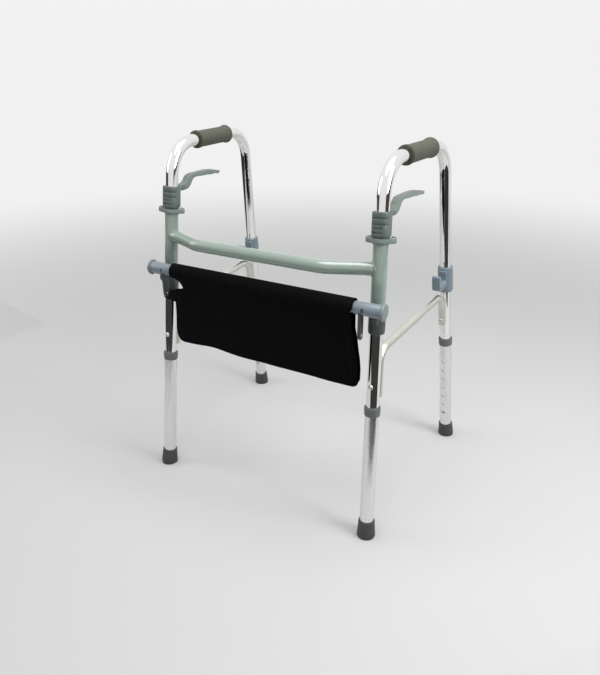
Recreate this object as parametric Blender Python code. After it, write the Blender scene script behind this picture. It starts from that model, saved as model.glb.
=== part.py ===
# Folding walking frame with a sling seat and height-adjustable legs.
# Metres, +Z up, +X to the right, +Y towards the user; the floor is z = 0.
# Each side frame lies in its own leaning plane and folds about its front leg.
import math

import bmesh
import bpy
from mathutils import Matrix, Vector

# Where the side frames stand
FRONT_FOOT_X = 0.2628
FRONT_FOOT_Y = -0.2258
PLANE_TOE_OUT = 0.0552
PLANE_LEAN_IN = 0.0450
FRONT_LEG_SLOPE = 0.0958
REAR_LEG_SLOPE = -0.1368
REAR_FOOT_U = 0.4523
HANDLE_V = 0.7436

# Tubes
TUBE_R = 0.0127
TUBE_BORE_R = 0.0115
HANDLE_BEND_R = 0.070
FRAME_TUBE_BOTTOM = 0.050
LEG_TUBE_R = 0.0143
LEG_TUBE_BORE_R = 0.0131
LEG_TUBE_BOTTOM = 0.012
LEG_TUBE_TOP = 0.2860
BRACE_R = 0.0083
BRACE_BORE_R = 0.0071
BRACE_FRONT_BEND_R = 0.028
BRACE_REAR_BEND_R = 0.042
CLEARANCE = 0.0003
BRACE_OFFSET = TUBE_R + BRACE_R + CLEARANCE
BRACE_FRONT_LOW_V = 0.3025
BRACE_FRONT_HIGH_V = 0.3955
BRACE_REAR_HIGH_V = 0.4105
BRACE_REAR_LOW_V = 0.3330
RIVET_R = 0.0023
FRONT_RIVET_T = 0.3350
REAR_RIVET_T = 0.3520
TUBE_SIDES = 16

# Grips and the hooks on the rear legs
GRIP_FRONT_U = 0.1530
GRIP_REAR_U = 0.2705
GRIP_R = 0.0172
CLAMP_BOTTOM = 0.4180
CLAMP_TOP = 0.4775
CLAMP_R = 0.0168
CLAMP_DROP = {-1: 0.0040, 1: 0.0}
HOOK_HALF_WIDTH = 0.0090
SCREW_Y = 0.0200
SCREW_T = 0.4475

# Height setting
HOLE_PITCH = 0.0254
HOLE_COUNT = 8
FIRST_HOLE = 0.0775
HOLE_R = 0.0040
BUTTON_R = 0.0034

# Cross frame
SLEEVE_R = 0.0140
SLEEVE_BORE_R = 0.0132
SLEEVE_BOTTOM = 0.4853
SLEEVE_TOP = 0.6052
CROSSBAR_R = 0.0127
CROSSBAR_Z = 0.557
BAR_Y = -0.2142
BAR_Z = 0.4947
BAR_R = 0.0110
BAR_BORE_R = 0.0098
BAR_END_X = {-1: 0.2604, 1: 0.2678}
BARREL_R = 0.0135
BARREL_INNER_R = 0.0121
BARREL_INNER_X = {-1: 0.2075, 1: 0.2145}
BRACKET_BOTTOM = 0.4405
BRACKET_TOP = 0.4836
FINGER_INNER_X = {-1: 0.2239, 1: 0.2258}
FINGER_OUTER_X = {-1: 0.2299, 1: 0.2318}
FINGER_Y = -0.2194
FINGER_HALF_Y = 0.0068
FINGER_BOTTOM = 0.4355
FINGER_RIVET_Z = 0.4440

# Sling: its side edges as (height, x), from the bar down; the left one has a notch under the hem
SLING_RIGHT = ((0.5115, 0.2135), (0.4748, 0.2112), (0.4491, 0.2122), (0.4239, 0.2176), (0.3819, 0.2243),
               (0.3654, 0.2260), (0.3300, 0.2265))
SLING_LEFT = ((0.5115, -0.2060), (0.4850, -0.2050), (0.4800, -0.1930), (0.4769, -0.1864),
              (0.4738, -0.1831), (0.4684, -0.1791), (0.4625, -0.1768), (0.4606, -0.1860),
              (0.4595, -0.1945), (0.4560, -0.1990), (0.4377, -0.2021), (0.4080, -0.2034),
              (0.3715, -0.2073), (0.3300, -0.2080))
SLING_BOTTOM = 0.3325
SLING_RISE = 0.0058
SLING_RISE_X = -0.112
SLING_RISE_WIDTH = 0.055
SLING_CORNER_R = {-1: 0.0170, 1: 0.0120}
SLING_THICK = 0.0018
HEM_R = BAR_R + 0.0054
SLING_FRONT_Y = BAR_Y - 0.0052
SLING_BACK_Y = BAR_Y + 0.0092
BACK_NOTCH_DROP = 0.0060
STRAP_ANCHOR = (-0.2028, SLING_BACK_Y, 0.4290)

# Fold lock, measured along the front leg
FLANGE_BOTTOM = 0.6055
FLANGE_PLATE_BOTTOM = 0.6085
FLANGE_PLATE_TOP = 0.6170
FLANGE_LIP_TOP = 0.6195
FLANGE_MIDDLE_R = 0.0180
FLANGE_END_R = 0.0080
FLANGE_END_X = 0.0201
FLANGE_TURN = math.radians(17)
LIP_INNER_X = 0.0170
LIP_WIDTH = 0.0018
RECESS_R = 0.0154
RECESS_FLOOR = 0.6140
COLLAR_BOTTOM = 0.6210
COLLAR_TOP = 0.6630
COLLAR_HALF_X = 0.0156
COLLAR_FRONT_Y = -0.0168
COLLAR_REAR_Y = 0.0156
COLLAR_CORNER_R = 0.0095
CHAMBER_R = 0.0150
CHAMBER_FLOOR = 0.6300
RIB_GAP_DEPTH = 0.0012
RIB_GAP_HALF = 0.0012
LONG_RIB_GAPS = (0.6530, 0.6423)
SHORT_RIB_GAPS = (0.6352, 0.6275)
EAR_INNER_X = 0.0070
EAR_OUTER_X = 0.0102
EAR_R = 0.0037
PIN_R = 0.0019
PIN_Y = 0.0300
PIN_T = 0.6588
LEVER_HALF_WIDTH = 0.0066

# Coil that presses the collar down
SPRING_TURNS = 4
SPRING_STEPS = 12
SPRING_COIL_R = 0.0141
SPRING_WIRE_R = 0.0005
SPRING_BOTTOM = 0.6312
SPRING_TOP = 0.6584
STOP_RING_BOTTOM = 0.6594
STOP_RING_TOP = 0.6624
STOP_RING_R = 0.0146

# Turns a plate drawn in (rearward, upward) so that it stands along the leg
UPRIGHT = Matrix(((0, 0, 1, 0), (1, 0, 0, 0), (0, 1, 0, 0), (0, 0, 0, 1)))


def clear_scene():
    for item in list(bpy.data.objects):
        bpy.data.objects.remove(item, do_unlink=True)


def make_material(name, colour, metallic, roughness):
    material = bpy.data.materials.new(name)
    material.use_nodes = True
    shader = material.node_tree.nodes["Principled BSDF"]
    shader.inputs["Base Color"].default_value = (*colour, 1.0)
    shader.inputs["Metallic"].default_value = metallic
    shader.inputs["Roughness"].default_value = roughness
    material.diffuse_color = (*colour, 1.0)
    return material


def make_materials():
    return {
        "chrome": make_material("chrome_tube", (0.80, 0.80, 0.80), 1.0, 0.08),
        "satin": make_material("satin_aluminium", (0.72, 0.72, 0.72), 1.0, 0.32),
        "brace": make_material("brace_metal", (0.76, 0.74, 0.68), 1.0, 0.22),
        "sage": make_material("sage_paint", (0.36, 0.46, 0.39), 0.0, 0.35),
        "dark": make_material("dark_plastic", (0.10, 0.13, 0.12), 0.0, 0.40),
        "blue": make_material("blue_grey_plastic", (0.25, 0.30, 0.36), 0.0, 0.42),
        "cloth": make_material("sling_cloth", (0.012, 0.012, 0.014), 0.0, 0.90),
        "web": make_material("strap_webbing", (0.015, 0.015, 0.016), 0.0, 0.85),
        "rubber": make_material("tip_rubber", (0.07, 0.08, 0.08), 0.0, 0.70),
        "foam": make_material("grip_foam", (0.055, 0.06, 0.052), 0.0, 0.85),
        "steel": make_material("fastener_steel", (0.62, 0.62, 0.62), 1.0, 0.25),
        "spring": make_material("spring_steel", (0.45, 0.45, 0.47), 1.0, 0.30),
    }


# Frames of reference

def side_matrix(side):
    """Local X across the walker, Y rearward in the side plane, Z up in it."""
    across = Vector((1.0, -side * PLANE_TOE_OUT, side * PLANE_LEAN_IN)).normalized()
    rearward = Vector((side * PLANE_TOE_OUT, 1.0, 0.0)).normalized()
    rearward = (rearward - across * rearward.dot(across)).normalized()
    upward = across.cross(rearward)
    matrix = Matrix((across, rearward, upward)).transposed().to_4x4()
    matrix.translation = Vector((side * FRONT_FOOT_X, FRONT_FOOT_Y, 0.0))
    return matrix


def leg_matrix(side, which):
    """Local Z runs up the leg's axis from the floor, local Y rearward."""
    if which == "front":
        start, slope = 0.0, FRONT_LEG_SLOPE
    else:
        start, slope = REAR_FOOT_U, REAR_LEG_SLOPE
    turn = Matrix.Rotation(-math.atan(slope), 4, "X")
    return side_matrix(side) @ Matrix.Translation((0.0, start, 0.0)) @ turn


# Mesh helpers

def to_object(name, verts, faces, material, matrix):
    mesh = bpy.data.meshes.new(name)
    mesh.from_pydata([tuple(v) for v in verts], [], faces)
    mesh.validate()
    shape = bmesh.new()
    shape.from_mesh(mesh)
    bmesh.ops.recalc_face_normals(shape, faces=shape.faces)
    shape.to_mesh(mesh)
    shape.free()
    mesh.shade_smooth()
    mesh.set_sharp_from_angle(angle=math.radians(35))
    item = bpy.data.objects.new(name, mesh)
    bpy.context.collection.objects.link(item)
    item.matrix_world = matrix
    if material is not None:
        mesh.materials.append(material)
    return item


def lathe(profile, sides=TUBE_SIDES):
    """Turn a closed (radius, height) outline about Z."""
    verts, rings = [], []
    for radius, height in profile:
        if radius < 1e-9:
            rings.append([len(verts)])
            verts.append(Vector((0.0, 0.0, height)))
            continue
        rings.append(list(range(len(verts), len(verts) + sides)))
        for k in range(sides):
            a = 2.0 * math.pi * k / sides
            verts.append(Vector((radius * math.cos(a), radius * math.sin(a), height)))
    faces = []
    for i in range(len(rings)):
        one, two = rings[i], rings[(i + 1) % len(rings)]
        if len(one) == 1 and len(two) == 1:
            continue
        for k in range(sides):
            j = (k + 1) % sides
            if len(one) == 1:
                faces.append((one[0], two[k], two[j]))
            elif len(two) == 1:
                faces.append((one[k], one[j], two[0]))
            else:
                faces.append((one[k], one[j], two[j], two[k]))
    return verts, faces


def prism(outline, low, high):
    """Raise a flat (x, y) outline from z = low to z = high."""
    count = len(outline)
    verts = [Vector((x, y, low)) for x, y in outline]
    verts += [Vector((x, y, high)) for x, y in outline]
    faces = [tuple(reversed(range(count))), tuple(range(count, 2 * count))]
    for k in range(count):
        j = (k + 1) % count
        faces.append((k, j, count + j, count + k))
    return verts, faces


def box(low, high):
    (x0, y0, z0), (x1, y1, z1) = low, high
    return prism([(x0, y0), (x1, y0), (x1, y1), (x0, y1)], z0, z1)


def moved(shape, matrix):
    verts, faces = shape
    return [matrix @ v for v in verts], faces


def joined(shapes):
    verts, faces = [], []
    for some_verts, some_faces in shapes:
        base = len(verts)
        verts += some_verts
        faces += [tuple(base + i for i in face) for face in some_faces]
    return verts, faces


def rounded_path(corners, radius, steps):
    """Follow the corner points, with an arc of the radius at each inner one."""
    path = [corners[0]]
    for before, corner, after in zip(corners, corners[1:], corners[2:]):
        back = (before - corner).normalized()
        ahead = (after - corner).normalized()
        half = 0.5 * back.angle(ahead)
        reach = radius / math.tan(half)
        centre = corner + (back + ahead).normalized() * (radius / math.sin(half))
        first = corner + back * reach - centre
        last = corner + ahead * reach - centre
        turn = first.angle(last)
        for k in range(steps + 1):
            f = k / steps
            arm = (first * math.sin((1 - f) * turn) + last * math.sin(f * turn)) / math.sin(turn)
            path.append(centre + arm)
    path.append(corners[-1])
    return path


def sweep(path, radii, bores=None, sides=TUBE_SIDES):
    """Round bar along a path, or a pipe where bores are given."""
    count = len(path)
    if not isinstance(radii, (list, tuple)):
        radii = [radii] * count
    tangents = []
    for i in range(count):
        low, high = max(i - 1, 0), min(i + 1, count - 1)
        tangents.append((path[high] - path[low]).normalized())
    across = tangents[0].orthogonal().normalized()
    if abs(tangents[0].x) < 0.9:
        across = (Vector((1, 0, 0)) - tangents[0] * tangents[0].x).normalized()
    rings, verts = [], []
    sets = [radii] if bores is None else [radii, [bores] * count]
    frames = []
    for i in range(count):
        across = (across - tangents[i] * across.dot(tangents[i])).normalized()
        frames.append((across.copy(), tangents[i].cross(across)))
    for layer in sets:
        layer_rings = []
        for i in range(count):
            ring = []
            for k in range(sides):
                a = 2.0 * math.pi * k / sides
                arm = frames[i][0] * math.cos(a) + frames[i][1] * math.sin(a)
                ring.append(len(verts))
                verts.append(path[i] + arm * layer[i])
            layer_rings.append(ring)
        rings.append(layer_rings)
    faces = []
    for layer_rings in rings:
        for one, two in zip(layer_rings, layer_rings[1:]):
            for k in range(sides):
                j = (k + 1) % sides
                faces.append((one[k], one[j], two[j], two[k]))
    for end in (0, -1):
        if bores is None:
            faces.append(tuple(rings[0][end]))
            continue
        for k in range(sides):
            j = (k + 1) % sides
            faces.append((rings[0][end][k], rings[0][end][j], rings[1][end][j], rings[1][end][k]))
    return verts, faces


def least_self_gap(path, radius, apart):
    """Least gap between stretches of a wire at least so many points apart."""
    least = min((path[i] - path[j]).length
                for i in range(len(path)) for j in range(i + apart, len(path)))
    return least - 2 * radius


def add_boolean(item, other, operation):
    modifier = item.modifiers.new(operation.lower(), "BOOLEAN")
    modifier.operation = operation
    modifier.solver = "EXACT"
    modifier.object = other
    return modifier


def cutter(name, shape, matrix):
    verts, faces = shape
    item = to_object(name, verts, faces, None, matrix)
    item.hide_render = True
    item.display_type = "WIRE"
    return item


def solid(name, shape, material, matrix):
    verts, faces = shape
    return to_object(name, verts, faces, material, matrix)


def set_origin(item, matrix):
    """Move the object's origin without moving its mesh."""
    item.data.transform(matrix.inverted() @ item.matrix_world)
    item.matrix_world = matrix


def side_name(side):
    return "right" if side > 0 else "left"


def across_rod(radius, start, end, y, z, sides=16):
    """Round rod along local X from start to end."""
    turn = Matrix.Translation((0.0, y, z)) @ Matrix.Rotation(math.radians(90), 4, "Y")
    return moved(lathe([(0, start), (radius, start), (radius, end), (0, end)], sides), turn)


# Side frame

def frame_tube(side, materials):
    name = side_name(side)
    front_low = Vector((0.0, FRONT_LEG_SLOPE * FRAME_TUBE_BOTTOM, FRAME_TUBE_BOTTOM))
    front_top = Vector((0.0, FRONT_LEG_SLOPE * HANDLE_V, HANDLE_V))
    rear_top = Vector((0.0, REAR_FOOT_U + REAR_LEG_SLOPE * HANDLE_V, HANDLE_V))
    rear_low = Vector((0.0, REAR_FOOT_U + REAR_LEG_SLOPE * FRAME_TUBE_BOTTOM, FRAME_TUBE_BOTTOM))
    path = rounded_path([front_low, front_top, rear_top, rear_low], HANDLE_BEND_R, 6)
    tube = solid(f"{name}_frame_tube", sweep(path, TUBE_R, TUBE_BORE_R),
                 materials["chrome"], side_matrix(side))
    for which, facing in (("front", 1), ("rear", -1)):
        drill = moved(lathe([(0, 0), (HOLE_R, 0), (HOLE_R, 0.02), (0, 0.02)], 12),
                      Matrix.Translation((0, 0, FIRST_HOLE))
                      @ Matrix.Rotation(math.radians(-90 * facing), 4, "X"))
        add_boolean(tube, cutter(f"{name}_{which}_button_drill", drill, leg_matrix(side, which)),
                    "DIFFERENCE")
        add_boolean(tube, rivet_hole(side, which, facing), "DIFFERENCE")


def side_brace(side, materials):
    name = side_name(side)
    front_u = BRACE_OFFSET * math.hypot(1.0, FRONT_LEG_SLOPE)
    rear_u = REAR_FOOT_U - BRACE_OFFSET * math.hypot(1.0, REAR_LEG_SLOPE)
    corners = []
    for start, slope, height in ((front_u, FRONT_LEG_SLOPE, BRACE_FRONT_LOW_V),
                                 (front_u, FRONT_LEG_SLOPE, BRACE_FRONT_HIGH_V),
                                 (rear_u, REAR_LEG_SLOPE, BRACE_REAR_HIGH_V),
                                 (rear_u, REAR_LEG_SLOPE, BRACE_REAR_LOW_V)):
        corners.append(Vector((0.0, start + slope * height, height)))
    path = rounded_path(corners[:3], BRACE_FRONT_BEND_R, 5)[:-1]
    path += rounded_path(corners[1:], BRACE_REAR_BEND_R, 5)[1:]
    brace = solid(f"{name}_side_brace", sweep(path, BRACE_R, BRACE_BORE_R, 12),
                  materials["brace"], side_matrix(side))
    for which in ("front", "rear"):
        add_boolean(brace, bpy.data.objects[f"{name}_{which}_rivet_hole"], "DIFFERENCE")


def rivet_turn(which, facing):
    """Turns a lathe's Z to run from the leg towards the middle of the side frame."""
    height = FRONT_RIVET_T if which == "front" else REAR_RIVET_T
    return (Matrix.Translation((0, 0, height))
            @ Matrix.Rotation(math.radians(-90 * facing), 4, "X"))


def rivet_hole(side, which, facing):
    hole = lathe([(0, -0.02), (RIVET_R + 0.0003, -0.02), (RIVET_R + 0.0003, 0.04), (0, 0.04)], 12)
    return cutter(f"{side_name(side)}_{which}_rivet_hole", moved(hole, rivet_turn(which, facing)),
                  leg_matrix(side, which))


def brace_rivet(side, which, facing, materials):
    """Through rivet that holds the brace's end against the leg."""
    near = -TUBE_R - 0.0003
    far = BRACE_OFFSET + BRACE_R + 0.0003
    profile = [(0, near - 0.0026), (0.0034, near - 0.0022), (0.0052, near), (RIVET_R, near),
               (RIVET_R, far), (0.0048, far), (0.0036, far + 0.0020), (0, far + 0.0024)]
    solid(f"{side_name(side)}_{which}_brace_rivet", moved(lathe(profile, 12), rivet_turn(which, facing)),
          materials["steel"], leg_matrix(side, which))


def hand_grip(side, materials):
    """Foam sleeve with a rolled ring at each end, the rear one larger."""
    front, rear = GRIP_FRONT_U, GRIP_REAR_U
    bore = TUBE_R + 0.0004
    profile = [(bore, front), (0.0178, front), (0.0186, front + 0.0012), (0.0186, front + 0.0065),
               (0.0176, front + 0.0085), (GRIP_R, front + 0.0120), (GRIP_R, rear - 0.0130),
               (0.0181, rear - 0.0075), (0.0196, rear - 0.0045), (0.0196, rear - 0.0012),
               (0.0188, rear), (bore, rear)]
    turn = Matrix.Translation((0, 0, HANDLE_V)) @ Matrix.Rotation(math.radians(-90), 4, "X")
    solid(f"{side_name(side)}_hand_grip", moved(lathe(profile, 20), turn), materials["foam"],
          side_matrix(side))


def clamp_matrix(side):
    """The rear leg's frame; the left clamp is set a little lower."""
    return leg_matrix(side, "rear") @ Matrix.Translation((0, 0, -CLAMP_DROP[side]))


def rear_hook_clamp(side, materials):
    """Clamp round the rear leg: an upturned hook in front, the screw's lug behind."""
    name = side_name(side)
    leg = clamp_matrix(side)
    ring = [(0, CLAMP_BOTTOM), (0.0160, CLAMP_BOTTOM), (CLAMP_R, CLAMP_BOTTOM + 0.002),
            (CLAMP_R, CLAMP_TOP - 0.002), (0.0160, CLAMP_TOP), (0, CLAMP_TOP)]
    body = solid(f"{name}_rear_hook_clamp", lathe(ring), materials["blue"], leg)
    outline = [(-0.0080, 0.4360), (-0.0450, 0.4362), (-0.0530, 0.4390), (-0.0570, 0.4450),
               (-0.0570, 0.4710), (-0.0545, 0.4745), (-0.0505, 0.4745), (-0.0480, 0.4710),
               (-0.0480, 0.4540), (-0.0455, 0.4490), (-0.0405, 0.4468), (-0.0265, 0.4468),
               (-0.0210, 0.4500), (-0.0190, 0.4550), (-0.0190, 0.4720), (-0.0080, 0.4745)]
    hook = moved(prism(outline, -HOOK_HALF_WIDTH, HOOK_HALF_WIDTH), UPRIGHT)
    add_boolean(body, cutter(f"{name}_hook_shape", hook, leg), "UNION")
    lug = box((-0.0055, 0.0100, SCREW_T - 0.0130), (0.0055, 0.0242, SCREW_T + 0.0130))
    add_boolean(body, cutter(f"{name}_lug_shape", lug, leg), "UNION")
    bore = lathe([(0, 0.40), (TUBE_R + 0.0004, 0.40), (TUBE_R + 0.0004, 0.50), (0, 0.50)])
    add_boolean(body, cutter(f"{name}_clamp_bore", bore, leg), "DIFFERENCE")
    hole = across_rod(0.0023, -0.012, 0.012, SCREW_Y, SCREW_T, 12)
    add_boolean(body, cutter(f"{name}_screw_hole", hole, leg), "DIFFERENCE")


def clamp_screw(side, materials):
    """Screw across the clamp's lug, its domed head on the outer side and a nut inside."""
    shank, head, nut, face = 0.0020, 0.0036, 0.0034, 0.0058
    profile = [(0, face + 0.0024), (0.0022, face + 0.0022), (head, face + 0.0010), (head, face),
               (shank, face), (shank, -face), (nut, -face), (nut, -face - 0.0024), (0, -face - 0.0024)]
    turn = (Matrix.Translation((0, SCREW_Y, SCREW_T))
            @ Matrix.Rotation(math.radians(90 * side), 4, "Y"))
    solid(f"{side_name(side)}_clamp_screw", moved(lathe(profile, 12), turn), materials["steel"],
          clamp_matrix(side))


def stop_ring(side, materials):
    """Ring fixed on the tube inside the collar's mouth; the coil bears up against it."""
    bore = TUBE_R + CLEARANCE
    profile = [(bore, STOP_RING_BOTTOM), (STOP_RING_R, STOP_RING_BOTTOM), (STOP_RING_R, STOP_RING_TOP),
               (bore, STOP_RING_TOP)]
    solid(f"{side_name(side)}_stop_ring", lathe(profile), materials["dark"], leg_matrix(side, "front"))


def lock_spring(side, materials):
    """Coil between the collar's chamber floor and the stop ring."""
    count = SPRING_TURNS * SPRING_STEPS
    path = []
    for k in range(count + 1):
        f = k / count
        a = 2 * math.pi * SPRING_TURNS * f
        path.append(Vector((SPRING_COIL_R * math.cos(a), SPRING_COIL_R * math.sin(a),
                            SPRING_BOTTOM + (SPRING_TOP - SPRING_BOTTOM) * f)))
    solid(f"{side_name(side)}_lock_spring", sweep(path, SPRING_WIRE_R, None, 4), materials["spring"],
          leg_matrix(side, "front"))
    gap = least_self_gap(path, SPRING_WIRE_R, SPRING_STEPS // 2)
    print(side_name(side), "lock spring, least gap to itself", round(gap * 1000, 2), "mm")


def snap_spring(side, which, facing, materials):
    """Bent leaf inside the tube that pushes the button out through its hole."""
    name = f"{side_name(side)}_{which}_snap_spring"
    back = -0.0108
    shape = [(back, 0.060), (back + 0.0010, 0.060), (back + 0.0010, 0.108), (back + 0.0040, 0.1125),
             (0.0030, 0.1080), (0.0046, 0.060), (0.0056, 0.060), (0.0040, 0.1085),
             (back + 0.0040, 0.1138), (back, 0.109)]
    outline = [(facing * y, z) for y, z in shape]
    solid(name, moved(prism(outline, -0.0030, 0.0030), UPRIGHT), materials["spring"],
          leg_matrix(side, which))


def snap_button(side, which, facing, materials):
    """Round button with a flange behind the tube wall."""
    name = f"{side_name(side)}_{which}_snap_button"
    profile = [(0, 0.0060), (0.0058, 0.0060), (0.0058, 0.0074), (BUTTON_R, 0.0074),
               (BUTTON_R, 0.0121), (0.0026, 0.0126), (0, 0.0126)]
    turn = (Matrix.Translation((0, 0, FIRST_HOLE))
            @ Matrix.Rotation(math.radians(-90 * facing), 4, "X"))
    solid(name, moved(lathe(profile, 12), turn), materials["steel"], leg_matrix(side, which))


# Leg extensions

def leg_tube(side, which, facing, materials):
    name = f"{side_name(side)}_{which}_leg_tube"
    low, high = LEG_TUBE_BOTTOM, LEG_TUBE_TOP
    profile = [(LEG_TUBE_BORE_R, low), (LEG_TUBE_R, low), (LEG_TUBE_R, high), (LEG_TUBE_BORE_R, high)]
    leg = leg_matrix(side, which)
    tube = solid(name, lathe(profile), materials["satin"], leg)
    turn = Matrix.Rotation(math.radians(-90 * facing), 4, "X")
    drills = []
    for k in range(HOLE_COUNT):
        at = Matrix.Translation((0, 0, FIRST_HOLE + k * HOLE_PITCH))
        drills.append(moved(lathe([(0, 0.008), (HOLE_R, 0.008), (HOLE_R, 0.02), (0, 0.02)], 8),
                            at @ turn))
    add_boolean(tube, cutter(f"{name}_drills", joined(drills), leg), "DIFFERENCE")


def ring_collar(side, which, materials):
    name = f"{side_name(side)}_{which}_ring_collar"
    low, high = 0.2735, 0.2915
    inner, outer = LEG_TUBE_R + CLEARANCE, TUBE_R + 0.0005
    profile = [(inner, low), (0.0154, low), (0.0161, low + 0.0080), (0.0161, high - 0.0015),
               (0.0155, high), (outer, high), (outer, high - 0.0045), (inner, high - 0.0045)]
    solid(name, lathe(profile), materials["dark"], leg_matrix(side, which))


def rubber_tip(side, which, materials):
    """Flared tip: its sole is level with the floor, its mouth square to the leg."""
    name = f"{side_name(side)}_{which}_rubber_tip"
    leg = leg_matrix(side, which)
    flat = Matrix.Translation(leg.translation)
    steps = [(flat, 0.0, 0.0180), (flat, 0.0016, 0.0190), (flat, 0.0060, 0.0189),
             (leg, 0.0170, 0.0180), (leg, 0.0340, 0.0170), (leg, 0.0362, 0.0164),
             (leg, 0.0362, LEG_TUBE_R + 0.0003), (leg, 0.0116, LEG_TUBE_R + 0.0003)]
    sides = TUBE_SIDES
    inverse = leg.inverted()
    verts, faces = [], []
    for frame, height, radius in steps:
        for k in range(sides):
            a = 2 * math.pi * k / sides
            point = Vector((radius * math.cos(a), radius * math.sin(a), height))
            verts.append(inverse @ frame @ point)
    for i in range(len(steps) - 1):
        for k in range(sides):
            j = (k + 1) % sides
            faces.append((i * sides + k, i * sides + j, (i + 1) * sides + j, (i + 1) * sides + k))
    faces.append(tuple(range(sides)))
    last = (len(steps) - 1) * sides
    faces.append(tuple(range(last, last + sides)))
    solid(name, (verts, faces), materials["rubber"], leg)


# Fold lock

def collar_outline(steps):
    """Rounded square round the tube, a little deeper in front, in (x, y)."""
    reach_x = COLLAR_HALF_X - COLLAR_CORNER_R
    rear, front = COLLAR_REAR_Y - COLLAR_CORNER_R, COLLAR_FRONT_Y + COLLAR_CORNER_R
    outline = []
    for x, y, start in ((reach_x, rear, 0), (-reach_x, rear, 90), (-reach_x, front, 180),
                        (reach_x, front, 270)):
        for k in range(steps + 1):
            a = math.radians(start + 90.0 * k / steps)
            outline.append((x + COLLAR_CORNER_R * math.cos(a), y + COLLAR_CORNER_R * math.sin(a)))
    return outline


def rib_gap(height, wraps):
    """Groove across the collar's front at a height; a long one turns its right corner."""
    floor_r = COLLAR_CORNER_R - RIB_GAP_DEPTH
    centre_x = COLLAR_HALF_X - COLLAR_CORNER_R
    centre_y = COLLAR_FRONT_Y + COLLAR_CORNER_R
    floor_y = COLLAR_FRONT_Y + RIB_GAP_DEPTH
    outline = [(-0.0105, -0.0220), (-0.0105, floor_y)]
    if wraps:
        for k in range(5):
            a = math.radians(-90 + 22.5 * k)
            outline.append((centre_x + floor_r * math.cos(a), centre_y + floor_r * math.sin(a)))
        outline += [(COLLAR_HALF_X - RIB_GAP_DEPTH, -0.0065), (0.0210, -0.0065), (0.0210, -0.0220)]
    else:
        outline += [(0.0090, floor_y), (0.0105, -0.0220)]
    return prism(outline[::-1], height - RIB_GAP_HALF, height + RIB_GAP_HALF)


def ear_outline(steps):
    """Ear from inside the collar's rear wall to a round end about the pin, in (y, z)."""
    outline = [(0.0120, PIN_T + EAR_R), (0.0120, PIN_T - EAR_R)]
    for k in range(steps + 1):
        a = math.radians(-90 + 180 * k / steps)
        outline.append((PIN_Y + EAR_R * math.cos(a), PIN_T + EAR_R * math.sin(a)))
    return outline


def lock_collar(side, materials):
    """Boxy collar with a ribbed front; it slides up the tube to free the fold."""
    name = side_name(side)
    leg = leg_matrix(side, "front")
    low, high = COLLAR_BOTTOM, COLLAR_TOP
    body = solid(f"{name}_lock_collar", prism(collar_outline(4), low, high), materials["dark"], leg)
    ears = [moved(prism(ear_outline(6), *sorted((facing * EAR_INNER_X, facing * EAR_OUTER_X))), UPRIGHT)
            for facing in (-1, 1)]
    add_boolean(body, cutter(f"{name}_collar_ears", joined(ears), leg), "UNION")
    skirt = lathe([(0, low - 0.0060), (0.0150, low - 0.0060), (0.0150, low + 0.003), (0, low + 0.003)])
    add_boolean(body, cutter(f"{name}_collar_skirt", skirt, leg), "UNION")
    gaps = [rib_gap(height, True) for height in LONG_RIB_GAPS]
    gaps += [rib_gap(height, False) for height in SHORT_RIB_GAPS]
    pocket = box((-0.0085, -0.0220, 0.6255), (-0.0045, COLLAR_FRONT_Y + 0.0026, 0.6295))
    hollow = lathe([(0, 0.60), (SLEEVE_BORE_R, 0.60), (SLEEVE_BORE_R, CHAMBER_FLOOR),
                    (CHAMBER_R, CHAMBER_FLOOR), (CHAMBER_R, 0.68), (0, 0.68)], 24)
    holes = across_rod(PIN_R + 0.0002, -0.014, 0.014, PIN_Y, PIN_T, 10)
    for label, shape in (("gaps", joined(gaps)), ("pocket", pocket), ("hollow", hollow),
                         ("pin_hole", holes)):
        add_boolean(body, cutter(f"{name}_collar_{label}", shape, leg), "DIFFERENCE")


def lever_pin(side, materials):
    half = EAR_OUTER_X + 0.0002
    rod = across_rod(PIN_R, -half, half, PIN_Y, PIN_T, 10)
    solid(f"{side_name(side)}_lever_pin", rod, materials["steel"], leg_matrix(side, "front"))


def release_lever(side, materials):
    """S-shaped finger lever that reaches back under the grip and droops at its end."""
    name = side_name(side)
    upper = [(0.0852, 0.6570), (0.0880, 0.6590), (0.1000, 0.6592), (0.1070, 0.6625), (0.1125, 0.6695),
             (0.1190, 0.6742), (0.1300, 0.6758), (0.1740, 0.6754), (0.1900, 0.6748), (0.2130, 0.6720),
             (0.2290, 0.6682), (0.2368, 0.6664)]
    lower = [(0.2373, 0.6648), (0.2320, 0.6634), (0.2285, 0.6616), (0.2220, 0.6618), (0.2165, 0.6640),
             (0.1960, 0.6636), (0.1895, 0.6650), (0.1610, 0.6664), (0.1460, 0.6678), (0.1370, 0.6678),
             (0.1305, 0.6655), (0.1255, 0.6610), (0.1218, 0.6560), (0.1170, 0.6513), (0.1105, 0.6480),
             (0.1030, 0.6470), (0.0880, 0.6468), (0.0852, 0.6490)]
    front = leg_matrix(side, "front")
    to_leg = front.inverted() @ side_matrix(side)
    shape = moved(prism(upper + lower, -LEVER_HALF_WIDTH, LEVER_HALF_WIDTH), to_leg @ UPRIGHT)
    lever = solid(f"{name}_release_lever", shape, materials["dark"], front)
    set_origin(lever, front @ Matrix.Translation((0, PIN_Y, PIN_T)))
    hole = across_rod(PIN_R + 0.0002, -0.012, 0.012, PIN_Y, PIN_T, 10)
    add_boolean(lever, cutter(f"{name}_lever_pin_hole", hole, front), "DIFFERENCE")


# Cross frame

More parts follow.
